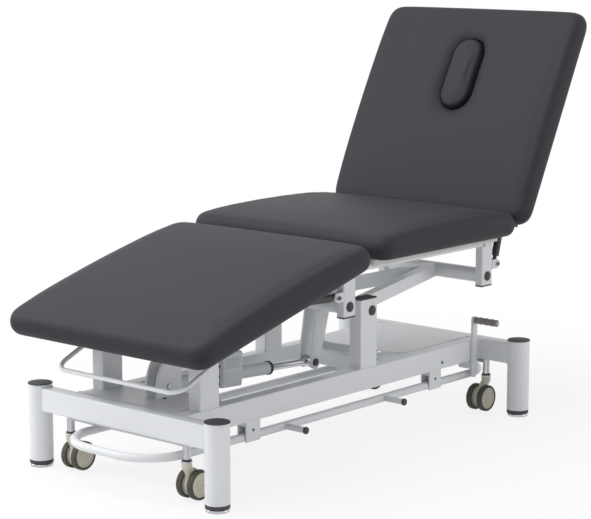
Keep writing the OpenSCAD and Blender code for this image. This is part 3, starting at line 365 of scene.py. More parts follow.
def domed_cap(radius, rim, dome, edge, steps=7):
    """Profile of a round cap: a wall, a rounded shoulder and a dome, z = rim + dome (1 - (r / inner)^2)."""
    turn = np.linspace(0, math.pi / 2, steps)
    inner = radius - edge
    share = np.linspace(1, 0, 2 * steps)[1:]
    shoulder = np.column_stack([inner + edge * np.cos(turn), rim - edge + edge * np.sin(turn)])
    crest = np.column_stack([inner * share, rim + dome * (1 - share**2)])
    return np.concatenate([[[0.0, 0.0], [radius, 0.0]], shoulder, crest])


def socket_bolt(diameter, steps=36):
    """Button head with a hexagon socket. The head's rings follow an ellipse, and the socket's rings have the
    radius k cos 30 / cos(a - 30) of a hexagon, with a taken within each sixth of a turn."""
    radius = diameter / 2
    angle = np.linspace(0, 2 * math.pi, steps, endpoint=False)
    sixth = math.pi / 3
    hexagon = math.cos(sixth / 2) / np.cos(np.mod(angle, sixth) - sixth / 2)
    turn = np.linspace(0, math.pi / 2 - 0.55, 7)
    head = radius * np.cos(turn)[:, None] * np.ones(steps)
    socket = radius * np.array([0.5, 0.46, 0.46])[:, None] * hexagon
    tip = np.zeros((1, steps))
    radii = np.concatenate([tip, head[:1], head, socket, tip])
    rise = np.concatenate([[-0.1, -0.1], 0.05 + 0.5 * np.sin(turn), [0.47, 0.44, 0.12, 0.12]]) * radius
    heights = np.broadcast_to(rise[:, None], radii.shape)
    points = np.stack([radii * np.cos(angle), radii * np.sin(angle), heights], axis=2)
    return points.reshape(-1, 3), grid_faces(len(radii), steps)


def weld_bead(path, reference, closed=False):
    """Weld bead: a round outline along a path, whose size swings as 1 + 0.13 sin(2 pi s / pitch)."""
    width = sizes().weld_width
    points = evenly(path, width * 0.14, closed)
    count = len(points)
    ripples = max(1, round(count * 0.14 / 0.62))
    scale = 1 + 0.13 * np.sin(np.arange(count) * 2 * math.pi * ripples / count)
    return swept(points, circle(width, 10), reference, closed, scale)


# Meshes and pieces


def write_mesh(name, shape):
    """Mesh from arrays of points and faces."""
    points, faces = shape
    mesh = bpy.data.meshes.new(name)
    mesh.vertices.add(len(points))
    mesh.vertices.foreach_set("co", np.asarray(points, np.float32).ravel())
    mesh.loops.add(faces.size)
    mesh.loops.foreach_set("vertex_index", faces.ravel().astype(np.int32))
    mesh.polygons.add(len(faces))
    mesh.polygons.foreach_set("loop_start", np.arange(0, faces.size, faces.shape[1], dtype=np.int32))
    mesh.update(calc_edges=True)
    return mesh


def move_points(mesh, points):
    """Gives a mesh other places for its points."""
    mesh.vertices.foreach_set("co", points.astype(np.float32).ravel())
    mesh.update()


def tidied(mesh):
    """Merges doubled points, drops empty faces and turns all faces outwards."""
    work = bmesh.new()
    work.from_mesh(mesh)
    bmesh.ops.remove_doubles(work, verts=work.verts, dist=2e-6)
    bmesh.ops.dissolve_degenerate(work, dist=1e-7, edges=work.edges)
    bmesh.ops.recalc_face_normals(work, faces=work.faces)
    work.to_mesh(mesh)
    work.free()
    return mesh


def piece(name, shape, body, material, stands_for=(), sharp_angle=35, levels=0):
    """New piece: its mesh, finish, body, slot and the nodes that it stands for."""
    mesh = tidied(write_mesh(name, shape))
    mesh.shade_smooth()
    mesh.set_sharp_from_angle(angle=math.radians(sharp_angle))
    mesh.materials.append(material)
    made = bpy.data.objects.new(name, mesh)
    bpy.context.scene.collection.objects.link(made)
    if levels:
        rounding = made.modifiers.new("rounding", "SUBSURF")
        rounding.levels = levels
        rounding.render_levels = levels
    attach(made, body)
    if stands_for:
        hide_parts(*stands_for)
    return made


def black_piece(name, shape, body, *stands_for):
    """New piece of black plastic."""
    return piece(name, shape, body, black_plastic(), stands_for)


def paint_nodes(material, *nodes):
    """Gives carried-over nodes a finish, in every material slot that they have."""
    for node in nodes:
        mesh = frame["nodes"][node].data
        if not mesh.materials:
            mesh.materials.append(material)
        for index in range(len(mesh.materials)):
            mesh.materials[index] = material


# Finishes


def sum_node(operation, reflected=False):
    """Operator of a socket that adds a Math node."""

    def operator(wire, other):
        return wire.maths(operation, other, wire) if reflected else wire.maths(operation, wire, other)

    return operator


class Wire:
    """Socket whose operators add the Math nodes that do the same sum."""

    __add__ = sum_node("ADD")
    __radd__ = sum_node("ADD", reflected=True)
    __sub__ = sum_node("SUBTRACT")
    __rsub__ = sum_node("SUBTRACT", reflected=True)
    __mul__ = sum_node("MULTIPLY")
    __rmul__ = sum_node("MULTIPLY", reflected=True)
    __truediv__ = sum_node("DIVIDE")

    def __init__(self, sheet, socket):
        self.sheet = sheet
        self.socket = socket

    def maths(self, operation, first, second):
        return self.sheet.node("ShaderNodeMath", {"operation": operation}, {"0": first, "1": second})["Value"]

    def above(self, limit):
        """1 where the value is above the limit, else 0."""
        return self.maths("GREATER_THAN", self, limit)


class Outputs:
    """Outputs of a node by name."""

    def __init__(self, sheet, node):
        self.sheet = sheet
        self.node = node

    def __getitem__(self, name):
        found = [s for s in self.node.outputs if name in (s.identifier, s.name) and s.enabled]
        return Wire(self.sheet, found[0])


class Sheet:
    """Node tree of one finish."""

    def __init__(self, tree):
        self.tree = tree
        self.tree.nodes.clear()

    def node(self, kind, settings=None, values=None):
        """Adds a node, with its settings first and then the values or links of its sockets."""
        made = self.tree.nodes.new(kind)
        for name, value in (settings or {}).items():
            if name == "stops":
                self.set_stops(made.color_ramp, value)
            else:
                setattr(made, name, value)
        for name, value in (values or {}).items():
            socket = self.input_of(made, name)
            if isinstance(value, Wire):
                self.tree.links.new(value.socket, socket)
            elif isinstance(value, (tuple, list)) and len(value) == 3 and len(socket.default_value) == 4:
                socket.default_value = (*value, 1.0)
            else:
                socket.default_value = value
        return Outputs(self, made)

    @staticmethod
    def input_of(node, name):
        """Input by number, identifier or name."""
        if name.isdigit():
            return node.inputs[int(name)]
        return next(s for s in node.inputs if name in (s.identifier, s.name) and s.enabled)

    @staticmethod
    def set_stops(ramp, stops):
        """Gives a ramp its (place, grey) stops."""
        while len(ramp.elements) < len(stops):
            ramp.elements.new(1.0)
        for element, (place, grey) in zip(ramp.elements, stops):
            element.position = place
            element.color = (grey, grey, grey, 1.0)

    def coordinates(self, scale=(1.0, 1.0, 1.0), turn=(0.0, 0.0, 0.0)):
        """Object coordinates, stretched and turned."""
        plain = self.node("ShaderNodeTexCoord")["Object"]
        values = {"Vector": plain, "Scale": scale, "Rotation": turn}
        return self.node("ShaderNodeMapping", None, values)["Vector"]

    def noise(self, scale, detail=2.0, roughness=0.5, vector=None):
        """Noise from 0 to 1, with its scale in bumps per metre."""
        place = vector or self.coordinates()
        values = {"Vector": place, "Scale": scale, "Detail": detail, "Roughness": roughness}
        return self.node("ShaderNodeTexNoise", None, values)["Fac"]

    def cells(self, scale, vector=None, feature="F1"):
        """Distance to the middle or the edge of small cells, with cells per metre."""
        settings = {"feature": feature}
        values = {"Vector": vector or self.coordinates(), "Scale": scale}
        return self.node("ShaderNodeTexVoronoi", settings, values)["Distance"]

    def mixed(self, first, second, share):
        """Colour between two colours."""
        settings = {"data_type": "RGBA"}
        values = {"Factor_Float": share, "A_Color": first, "B_Color": second}
        return self.node("ShaderNodeMix", settings, values)["Result_Color"]

    def ramp(self, value, *stops):
        """Value led through grey stops."""
        return self.node("ShaderNodeValToRGB", {"stops": stops}, {"Fac": value})["Color"]

    def stretched(self, vector, scale):
        """Coordinates multiplied along each axis."""
        values = {"0": vector, "1": scale}
        return self.node("ShaderNodeVectorMath", {"operation": "MULTIPLY"}, values)["Vector"]

    def eased(self, radius):
        """Normal that is rounded over edges closer than a radius."""
        return self.node("ShaderNodeBevel", {"samples": 4}, {"Radius": radius})["Normal"]

    def bumped(self, height, strength, distance, normal=None):
        """Normal bent by a height."""
        values = {"Height": height, "Strength": strength, "Distance": distance}
        if normal is not None:
            values["Normal"] = normal
        return self.node("ShaderNodeBump", None, values)["Normal"]


def shade(colour, factor):
    """Colour made darker or lighter by one factor."""
    return tuple(min(1.0, c * factor) for c in colour)


def finish(name, build, **constants):
    """Material whose varying sockets come from build(sheet), as links, and whose others are constants."""
    known = bpy.data.materials.get(name)
    if known:
        return known
    material = bpy.data.materials.new(name)
    material.use_nodes = True
    sheet = Sheet(material.node_tree)
    values = {key.replace("_", " "): value for key, value in constants.items()}
    values.update(build(sheet))
    shader = sheet.node("ShaderNodeBsdfPrincipled", None, values)["BSDF"]
    sheet.node("ShaderNodeOutputMaterial", None, {"Surface": shader})
    return material


def powder_coat():
    """White powder coat: orange peel, faint clouds of tone and softened edges."""

    def build(sheet):
        tone = colours().paint
        clouds = sheet.noise(5.0, 3.0)
        peel = sheet.noise(650.0, 2.0, 0.45)
        specks = sheet.cells(900.0)
        return {
            "Base Color": sheet.mixed(shade(tone, 0.965), shade(tone, 1.02), clouds),
            "Roughness": 0.3 + 0.12 * sheet.noise(40.0, 3.0) + 0.04 * specks,
            "Normal": sheet.bumped(peel, 0.12, 0.0004, sheet.eased(2.2 * MM)),
        }

    return finish("powder_coat", build, Specular_IOR_Level=0.45)


def vinyl():
    """Charcoal upholstery vinyl: fine pebbled grain with creases between the pebbles, where shade is painted
    darker into the colour, and a soft sheen.
    """

    def build(sheet):
        tone = colours().vinyl
        warp = sheet.noise(160.0, 2.0)
        pebbles = sheet.cells(620.0, feature="SMOOTH_F1")
        creases = sheet.cells(430.0, feature="DISTANCE_TO_EDGE")
        valley = sheet.ramp(creases, (0.0, 0.0), (0.16, 1.0))
        grain = 0.55 * pebbles + 0.35 * (1 - valley) + 0.25 * warp
        clouds = sheet.noise(3.5, 3.0)
        base = sheet.mixed(shade(tone, 0.93), shade(tone, 1.06), clouds)
        return {
            # The colour is darkened to 0.86 in the creases of the grain: painted shade between the pebbles.
            "Base Color": sheet.mixed(shade(tone, 0.86), base, valley),
            "Roughness": 0.5 + 0.14 * pebbles + 0.06 * clouds,
            "Normal": sheet.bumped(1 - grain, 0.32, 0.0005),
        }

    return finish("upholstery_vinyl", build, Specular_IOR_Level=0.22, Sheen_Weight=0.02, Sheen_Roughness=0.4)


def moulded(name, tone, low_roughness=0.42, texture=1400.0):
    """Moulded plastic with the fine texture of a spark-eroded mould."""

    def build(sheet):
        sparks = sheet.noise(texture, 3.0, 0.6)
        wear = sheet.noise(60.0, 4.0)
        return {
            "Base Color": sheet.mixed(shade(tone, 0.9), shade(tone, 1.1), wear),
            "Roughness": low_roughness + 0.14 * sparks,
            "Normal": sheet.bumped(sparks, 0.22, 0.0003, sheet.eased(0.9 * MM)),
        }

    return finish(name, build, Specular_IOR_Level=0.5)


def satin_paint():
    """Black satin paint with slight orange peel."""

    def build(sheet):
        tone = colours().black_paint
        peel = sheet.noise(700.0, 2.0)
        return {
            "Base Color": sheet.mixed(shade(tone, 0.85), shade(tone, 1.25), sheet.noise(9.0, 3.0)),
            "Roughness": 0.34 + 0.12 * sheet.noise(50.0, 3.0),
            "Normal": sheet.bumped(peel, 0.15, 0.0004, sheet.eased(1.6 * MM)),
        }

    return finish("satin_black_paint", build)


def bright_steel(name, roughness, streaks, factor=1.0):
    """Steel with fine drawn lines; streaks are the noise's bumps per metre along X, Y and Z."""

    def build(sheet):
        tone = shade(colours().steel, factor)
        lines = sheet.noise(1.0, 4.0, 0.6, sheet.coordinates(streaks))
        spots = sheet.noise(35.0, 4.0)
        return {
            "Base Color": sheet.mixed(shade(tone, 0.82), shade(tone, 1.05), lines),
            "Roughness": roughness + 0.14 * lines + 0.06 * spots,
            "Normal": sheet.bumped(lines, 0.08, 0.0003, sheet.eased(0.6 * MM)),
        }

    return finish(name, build, Metallic=1.0)


def coated_plywood(name, tone, section, low_edge):
    """Coated plywood: long grain on the faces, and veneers that alternate along the thickness."""
    veneer = 1.5 * MM
    turn = math.atan2(section.along[2], section.along[0])
    offset = section.origin @ section.out + low_edge

    def build(sheet):
        level = sheet.coordinates(turn=(0.0, turn, 0.0))
        height = sheet.node("ShaderNodeSeparateXYZ", None, {"Vector": level})["Z"]
        layers = height.maths("PINGPONG", height - offset, veneer)
        dark_layer = (layers / veneer).above(0.5)
        grain = sheet.noise(1.0, 6.0, 0.62, sheet.stretched(level, (7.0, 90.0, 40.0)))
        flecks = sheet.noise(1.0, 3.0, 0.5, sheet.stretched(level, (40.0, 700.0, 300.0)))
        faces = sheet.mixed(shade(tone, 0.93), shade(tone, 1.05), grain)
        wood = sheet.mixed(faces, shade(tone, 0.8), dark_layer * 0.4)
        return {
            "Base Color": sheet.mixed(wood, shade(tone, 0.84), sheet.ramp(flecks, (0.55, 0.0), (0.8, 0.6))),
            "Roughness": 0.46 + 0.16 * grain,
            "Normal": sheet.bumped(flecks, 0.25, 0.0004),
        }

    return finish(name, build)


def tread_rubber():
    """Dark tyre with a dusty, lightly scuffed tread."""

    def build(sheet):
        tone = colours().tread
        dust = sheet.noise(110.0, 5.0, 0.62)
        scuffs = sheet.noise(900.0, 3.0)
        return {
            "Base Color": sheet.mixed(shade(tone, 0.75), shade(tone, 1.35), dust),
            "Roughness": 0.55 + 0.2 * scuffs,
            "Normal": sheet.bumped(scuffs, 0.25, 0.0004),
        }

    return finish("tread_rubber", build)


def grip_plastic():
    """Soft moulded grip with a pebbled surface."""

    def build(sheet):
        tone = colours().grip
        pebbles = sheet.cells(700.0)
        return {
            "Base Color": sheet.mixed(shade(tone, 0.85), shade(tone, 1.15), sheet.noise(70.0, 3.0)),
            "Roughness": 0.46 + 0.2 * pebbles,
            "Normal": sheet.bumped(pebbles, 0.4, 0.0004),
        }

    return finish("grip_plastic", build)


def black_plastic():
    return moulded("black_plastic", colours().black_plastic)


def motor_plastic():
    return moulded("motor_plastic", colours().motor, 0.38, 1100.0)


def nylon():
    return moulded("castor_nylon", colours().nylon, 0.36, 1500.0)


def chrome():
    return bright_steel("bright_chrome", 0.1, (30.0, 30.0, 30.0))


def drawn_steel():
    return bright_steel("drawn_steel", 0.24, (90.0, 90.0, 500.0))


def dark_steel():
    return bright_steel("blackened_steel", 0.32, (320.0, 320.0, 320.0), 0.28)


def zinc():
    return bright_steel("zinc_plated_steel", 0.3, (260.0, 260.0, 260.0))


# Pads


CROWN_POWER = 2.2
DROOP_POWER = 7


def outline_grid(length, width, corner, insets, straight=24, bend=10):
    """Round rectangles, one for each inset: x = tx cx + r cos a, y = ty cy + r sin a, where (cx, cy) is the
    centre of the corner's arc, tx and ty run along the straight sides and a turns along the arcs."""
    along = np.linspace(-1, 1, straight, endpoint=False)
    turn = np.linspace(0, math.pi / 2, bend, endpoint=False)
    ones = np.ones(straight)
    arcs = np.ones(bend)
    tx = np.concatenate([ones, arcs, -along, -arcs, -ones, -arcs, along, arcs])
    ty = np.concatenate([along, arcs, ones, arcs, -along, -arcs, -ones, -arcs])
    zero = np.zeros(straight)
    quarter = math.pi / 2
    angle = np.concatenate([
        zero, turn, zero + quarter, turn + quarter, zero + 2 * quarter, turn + 2 * quarter,
        zero + 3 * quarter, turn + 3 * quarter])
    inset = np.array(insets, float)[:, None]
    radius = np.minimum(np.maximum(corner - inset, corner / 4), min(length, width) / 2 - inset)
    cx = length / 2 - inset - radius
    cy = width / 2 - inset - radius
    return np.stack([tx * cx + radius * np.cos(angle), ty * cy + radius * np.sin(angle)], axis=2)


def crown_at(x, y, length, width):
    """Rise of a pad's top over its edges, with u = |2x / length| and v = |2y / width|:
    crown (1 - u^p) (1 - v^p) + side (1 - u^2) v^p - droop (u v)^q."""
    u = np.clip(np.abs(2 * x / length), 0, 1)
    v = np.clip(np.abs(2 * y / width), 0, 1)
    s = sizes()
    crown = s.pad_crown * (1 - u**CROWN_POWER) * (1 - v**CROWN_POWER)
    return crown + s.pad_side * (1 - u**2) * v**CROWN_POWER - s.pad_droop * (u * v) ** DROOP_POWER


def pad_profile(thickness, reach, steps=9):
    """Inset, height and share of the crown along a pad's side: drawn in below by tuck (1 - k)^2, then a
    quarter of an ellipse that rolls onto the top, then the top up to a reach."""
    s = sizes()
    k = np.linspace(0, 1, steps)
    turn = np.linspace(0, math.pi / 2, 2 * steps)[1:]
    inner = np.linspace(s.roll_width, reach, 3 * steps)[1:]
    inset = np.concatenate([s.pad_tuck * (1 - k) ** 2, s.roll_width * (1 - np.cos(turn)), inner])
    roll = thickness - s.roll_height * (1 - np.sin(turn))
    height = np.concatenate([k * (thickness - s.roll_height), roll, np.full(len(inner), thickness)])
    lifted = np.concatenate([np.zeros(steps), np.ones(len(turn) + len(inner))])
    return inset, height, lifted


def crowned(outlines, height, lifted, length, width):
    """Outlines at heights, raised by the crown where they are lifted."""
    rise = crown_at(outlines[..., 0], outlines[..., 1], length, width)
    z = np.reshape(height, (-1, 1)) + np.reshape(lifted, (-1, 1)) * rise
    return np.concatenate([outlines, z[..., None]], axis=2)


def closed_rings(rings):
    """Rings closed below by their origin and above by the middle line of the last one."""
    rings = np.concatenate([rings[:1] * 0.0, rings, rings[-1:] * [1.0, 0.0, 1.0]])
    return rings.reshape(-1, 3), grid_faces(len(rings), rings.shape[1])


def pad_shape(length, width, thickness):
    """Plain pad: outlines along the profile, closed below and above."""
    inset, height, lifted = pad_profile(thickness, min(length, width) / 2 - 1 * MM)
    outlines = outline_grid(length, width, sizes().pad_corner, inset)
    rings = crowned(outlines, height, lifted, length, width)
    return closed_rings(rings)


def oval_distance(points, length, width):
    """Distance of points from the outline of an oval with straight sides along X: below zero inside it."""
    half = (length - width) / 2
    nearest = np.clip(points[:, 0], -half, half)
    return np.hypot(points[:, 0] - nearest, points[:, 1]) - width / 2


def oval_ring(angle, length, width):
    """Points of an oval with straight sides along X, h the straight half: x = h clip(6 cos a) + r cos a and
    y = r sin a."""
    half = (length - width) / 2
    x = half * np.clip(6 * np.cos(angle), -1, 1) + width / 2 * np.cos(angle)
    return np.stack([x, width / 2 * np.sin(angle)], axis=-1)


def opened_pad_shape(length, width, thickness, hole_x, hole_length, hole_width):
    """Pad with an oval opening: its outlines run over its top to the opening's outline and down it."""
    inset, height, lifted = pad_profile(thickness, sizes().roll_width + 1 * MM)
    outlines = outline_grid(length, width, sizes().pad_corner, inset)
    side = crowned(outlines, height, lifted, length, width)
    top = outlines[-1]
    rim = oval_ring(np.arctan2(top[:, 1], top[:, 0] - hole_x), hole_length, hole_width) + [hole_x, 0.0]
    share = np.linspace(0, 1, 30)[1:, None, None]
    across = top[None] * (1 - share) + rim[None] * share
    over = crowned(across, np.full(len(across), thickness), np.ones(len(across)), length, width)
    levels = np.linspace(thickness * 0.8, 0, 6)
    down = np.stack([np.column_stack([rim, np.full(len(rim), z)]) for z in levels])
    rings = np.concatenate([side, over, down])
    return rings.reshape(-1, 3), grid_faces(len(rings), rings.shape[1], rows_closed=True)


def even_mesh(name, shape, size):
    """Closed shape remade from even square meshes."""
    rough = bpy.data.objects.new(name + "_rough", tidied(write_mesh(name + "_rough", shape)))
    bpy.context.scene.collection.objects.link(rough)
    remesh = rough.modifiers.new("even", "REMESH")
    remesh.mode = "VOXEL"
    remesh.voxel_size = size
    shown = rough.evaluated_get(bpy.context.evaluated_depsgraph_get())
    mesh = bpy.data.meshes.new_from_object(shown)
    mesh.name = name
    old = rough.data
    bpy.data.objects.remove(rough)
    bpy.data.meshes.remove(old)
    return mesh


def relaxed(mesh, points, rounds, share=0.5):
    """Points drawn towards the mean of their neighbours, which takes out the steps of the remade mesh."""
    flat = np.zeros(len(mesh.edges) * 2, np.int32)
    mesh.edges.foreach_get("vertices", flat)
    edges = flat.reshape(-1, 2)
    count = np.bincount(edges.ravel(), minlength=len(points))[:, None]
    for _ in range(rounds):
        total = np.zeros_like(points)
        for axis in range(3):
            total[:, axis] = np.bincount(edges[:, 0], points[edges[:, 1], axis], len(points))
            total[:, axis] += np.bincount(edges[:, 1], points[edges[:, 0], axis], len(points))
        points = points * (1 - share) + share * total / count
    return points


def swollen(mesh, points, thickness):
    """Points after the cover is blown up from inside. The underside is held, no point moves into the foam or
    further than the limit, the upper part moves more than the lower, and the middle more than the ends."""
    s = sizes()
    puppet = bpy.data.objects.new("swelling", mesh)
    bpy.context.scene.collection.objects.link(puppet)
    held = puppet.vertex_groups.new(name="held")
    for index in np.flatnonzero(points[:, 2] < 6 * MM).tolist():
        held.add([index], 1.0, "REPLACE")
    cloth = puppet.modifiers.new("swelling", "CLOTH")
    settings = cloth.settings
    settings.quality = 4
    settings.tension_stiffness = 12
    settings.compression_stiffness = 8
    settings.shear_stiffness = 6
    settings.bending_stiffness = 1.5
    settings.use_pressure = True
    settings.uniform_pressure_force = s.swell_pressure
    settings.vertex_group_mass = "held"
    settings.effector_weights.gravity = 0
    scene = bpy.context.scene
    cloth.point_cache.frame_start = 1
    cloth.point_cache.frame_end = s.swell_steps
    for step in range(1, s.swell_steps + 1):
        scene.frame_set(step)
    shown = puppet.evaluated_get(bpy.context.evaluated_depsgraph_get())
    moved = mesh_points(shown.data) - points
    scene.frame_set(1)
    bpy.data.objects.remove(puppet)
    flat = np.zeros(len(points) * 3, np.float32)
    mesh.vertex_normals.foreach_get("vector", flat)
    normals = flat.reshape(-1, 3)
    moved -= np.minimum((moved * normals).sum(axis=1), 0)[:, None] * normals
    reach = np.linalg.norm(moved, axis=1)[:, None]
    from_end = np.abs(points[:, :1]).max() - np.abs(points[:, :1])
    calm = np.clip(from_end / (6 * s.roll_width), 0.2, 1)
    limit = s.swell_limit * calm * (0.35 + 0.65 * np.clip(points[:, 2:] / thickness, 0, 1))
    moved *= np.minimum(1.0, limit / np.maximum(reach, 1e-9))
    return points + moved


def filled(points, lowest, highest, spare):
    """Points stretched along each axis until they reach the sides of a box, less the spare, and its top."""
    goal = (highest - lowest) / 2 - spare
    goal[2] = highest[2] - lowest[2] + spare
    return points * goal / np.abs(points).max(axis=0)


def settled(mesh, thickness):
    """Points of a remade cover, smoothed and blown up."""
    points = relaxed(mesh, mesh_points(mesh), 3)
    move_points(mesh, points)
    points = relaxed(mesh, swollen(mesh, points, thickness), 2)
    return points


def cover_piece(name, mesh, points, section, body, stands_for, levels=1):
    """Puts a cover's points in place and makes it a padded piece."""
    move_points(mesh, section.outward(points))
    mesh.shade_smooth()
    mesh.materials.clear()
    mesh.materials.append(vinyl())
    made = bpy.data.objects.new(name, mesh)
    bpy.context.scene.collection.objects.link(made)
    rounding = made.modifiers.new("rounding", "SUBSURF")
    rounding.levels = levels
    rounding.render_levels = levels
    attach(made, body)
    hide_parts(stands_for)
    return made


def clear_of_opening(points, hole_x, hole_length, hole_width):
    """Points inside the opening moved out to its outline, and the top drawn down round it: the depth of the
    hollow falls with the distance d from the outline as exp(-(d / reach)^1.6)."""
    s = sizes()
    centred = points - np.array([hole_x, 0.0, 0.0])
    away = oval_distance(centred, hole_length, hole_width)
    half = (hole_length - hole_width) / 2
    outward = np.stack([centred[:, 0] - np.clip(centred[:, 0], -half, half), centred[:, 1]], axis=1)
    outward /= np.maximum(np.linalg.norm(outward, axis=1)[:, None], 1e-6)
    moved = points.copy()
    moved[:, :2] -= outward * np.minimum(away, 0)[:, None]
    raised = np.clip(points[:, 2] / (s.roll_height * 2), 0, 1) ** 2
    moved[:, 2] -= s.dimple_depth * raised * np.exp(-((np.maximum(away, 0) / s.dimple_reach) ** 1.6))
    return moved


def make_pad(name, node, section, body, opening=None):
    """Simulated pad in the space of its CAD solid."""
    s = sizes()
    lowest, highest = section.box(node)
    length, width = (highest - lowest)[:2] - 2 * s.pad_slack
    thickness = highest[2] - lowest[2] - s.pad_slack - s.pad_crown
    origin = np.array([(lowest[0] + highest[0]) / 2, 0.0, lowest[2]])
    if opening is None:
        shape = pad_shape(length, width, thickness)
    else:
        hole = (opening[0] - origin[0], opening[1] + s.pad_slack, opening[2] + s.pad_slack)
        shape = opened_pad_shape(length, width, thickness, *hole)
    mesh = even_mesh(name, shape, s.cover_mesh)
    points = filled(settled(mesh, thickness), lowest, highest, 1 * MM)
    if opening is not None:
        points = relaxed(mesh, clear_of_opening(points, *hole), 2)
    return cover_piece(name, mesh, points + origin, section, body, node)


def opening_place():
    """Middle, length and width of the face opening, from the plug and its gap."""
    lowest, highest = BACK.box("face_plug")
    gap = 1 * MM
    return (lowest[0] + highest[0]) / 2, highest[0] - lowest[0] + 2 * gap, highest[1] - lowest[1] + 2 * gap


def plug_shape(length, width, thickness, shift, pad_length, pad_width):
    """Oval plug: rings of an oval up its side, over a rounded rim and in to a crown, roll (1 - cos a) and
    then crown k (2 - k). All of it is raised by the crown of the pad round it."""
    s = sizes()
    roll = s.plug_roll
    turn = np.linspace(0, math.pi / 2, 12)
    k = np.linspace(0, 1, 14)[1:]
    inset = np.concatenate([[0.0, 0.0], roll * (1 - np.cos(turn)), roll + (width / 2 - roll - 0.2 * MM) * k])
    top = thickness - roll * (1 - np.sin(turn))
    height = np.concatenate([[0.0, (thickness - roll) / 2], top, thickness + s.plug_crown * k * (2 - k)])
    angle = np.linspace(0, 2 * math.pi, 120, endpoint=False)
    outlines = np.stack([oval_ring(angle, length - 2 * i, width - 2 * i) for i in inset])
    rise = crown_at(outlines[..., 0] + shift, outlines[..., 1], pad_length, pad_width)
    z = height[:, None] + np.clip(height / (thickness - roll), 0, 1)[:, None] * rise
    rings = np.concatenate([outlines, z[..., None]], axis=2)
    return closed_rings(rings)


class COUCH_OT_plain_pads(bpy.types.Operator):
    """Make the seat pad and the foot pad."""

    bl_idname = "couch.plain_pads"
    bl_label = "Seat and foot pads"

    def execute(self, context):
        make_pad("seat_cushion", "seat_pad", LEVEL, "frame")
        make_pad("foot_cushion", "foot_pad", FOOT, "foot_section")
        return {"FINISHED"}


class COUCH_OT_back_pad(bpy.types.Operator):
    """Make the back pad with its face opening."""

    bl_idname = "couch.back_pad"
    bl_label = "Back pad"

    def execute(self, context):
        make_pad("back_cushion", "back_pad", BACK, "backrest", opening_place())
        return {"FINISHED"}


class COUCH_OT_face_plug(bpy.types.Operator):
    """Make the plug of the face opening."""

    bl_idname = "couch.face_plug"
    bl_label = "Plug of the face opening"

    def execute(self, context):
        s = sizes()
        pad_low, pad_high = BACK.box("back_pad")
        lowest, highest = BACK.box("face_plug")
        slack = 1.5 * MM
        place = np.array([(lowest[0] + highest[0]) / 2, 0.0, lowest[2]])
        length = highest[0] - lowest[0] - 2 * slack
        width = highest[1] - lowest[1] - 2 * slack
        thickness = pad_high[2] - pad_low[2] - s.pad_crown - 2 * slack
        shift = place[0] - (pad_low[0] + pad_high[0]) / 2
        shape = plug_shape(length, width, thickness, shift, *(pad_high - pad_low)[:2])
        mesh = even_mesh("face_cushion", shape, s.cover_mesh / 2)
        points = np.clip(settled(mesh, thickness) + place, lowest, highest + 2 * MM * Z_AXIS)
        cover_piece("face_cushion", mesh, points, BACK, "plug", "face_plug")
        return {"FINISHED"}


class COUCH_OT_finishes(bpy.types.Operator):
    """Give every node that stays its finish."""

    bl_idname = "couch.finishes"
    bl_label = "Finishes"

    def execute(self, context):
        paint_nodes(
            powder_coat(), "side_rails", "end_beams", "cross_members", "legs", "anchor_plates", "cover_foot",
            "cover_head", "posts", "bar_hangers", "head_arm_tubes", "head_arm_bars", "head_crank",
            "foot_arm_tubes", "foot_arm_bars", "frame_rails", "frame_crosses", "drop_legs", "frame_lugs",
            "foot_frame", "roll_bail", "foot_bar", "lever_arm")
        paint_nodes(satin_paint(), "back_frame", "back_strut_tube", "foot_strut_tube")
        paint_nodes(motor_plastic(), "actuator_tube")
        paint_nodes(chrome(), "actuator_rod", "foot_strut_rod", "back_strut_rod")
        paint_nodes(zinc(), "base_pins", "frame_pins")
        paint_nodes(drawn_steel(), "castor_stems")
        white = colours().white_board
        black = colours().black_board
        paint_nodes(coated_plywood("seat_plywood", white, LEVEL, low("seat_board")[2]), "seat_board")
        paint_nodes(coated_plywood("foot_plywood", black, FOOT, FOOT.box("foot_board")[0][2]), "foot_board")
        paint_nodes(coated_plywood("back_plywood", black, BACK, BACK.box("back_board")[0][2]), "back_board")
        return {"FINISHED"}


def wheel_shapes(centre, side, diameter, width):
    """Tyre and centre of one wheel whose inner face is at a point of the axle, standing out along Y."""
    s = sizes()
    radius = diameter / 2
    bend = 4 * MM
    turn = np.linspace(0, math.pi / 2, 5)
    rim = radius - s.tyre_depth
    outer = np.column_stack([radius - bend + bend * np.sin(turn), bend - bend * np.cos(turn)])
    crest = [[radius, width / 2]]
    far = outer[::-1] * [1, -1] + [0, width]
    profile = np.concatenate([[[rim, 0.8 * MM]], outer, crest, far, [[rim, width - 0.8 * MM]]])
    tyre = ring_lathe(profile, 72)
    face = width - 1.2 * MM
    hub = lathe([
        [0, 0], [rim * 0.98, 0], [rim, 1 * MM], [rim, face - 0.6 * MM], [rim - 1 * MM, face],
        [rim * 0.86, face], [rim * 0.82, face - 2.2 * MM], [rim * 0.42, face - 3 * MM],
        [rim * 0.36, face - 0.6 * MM], [rim * 0.3, face], [rim * 0.16, face],
        [rim * 0.13, face - 1.6 * MM], [0, face - 1.6 * MM]], 72)
    return placed(tyre, centre, side * Y_AXIS), placed(hub, centre, side * Y_AXIS)


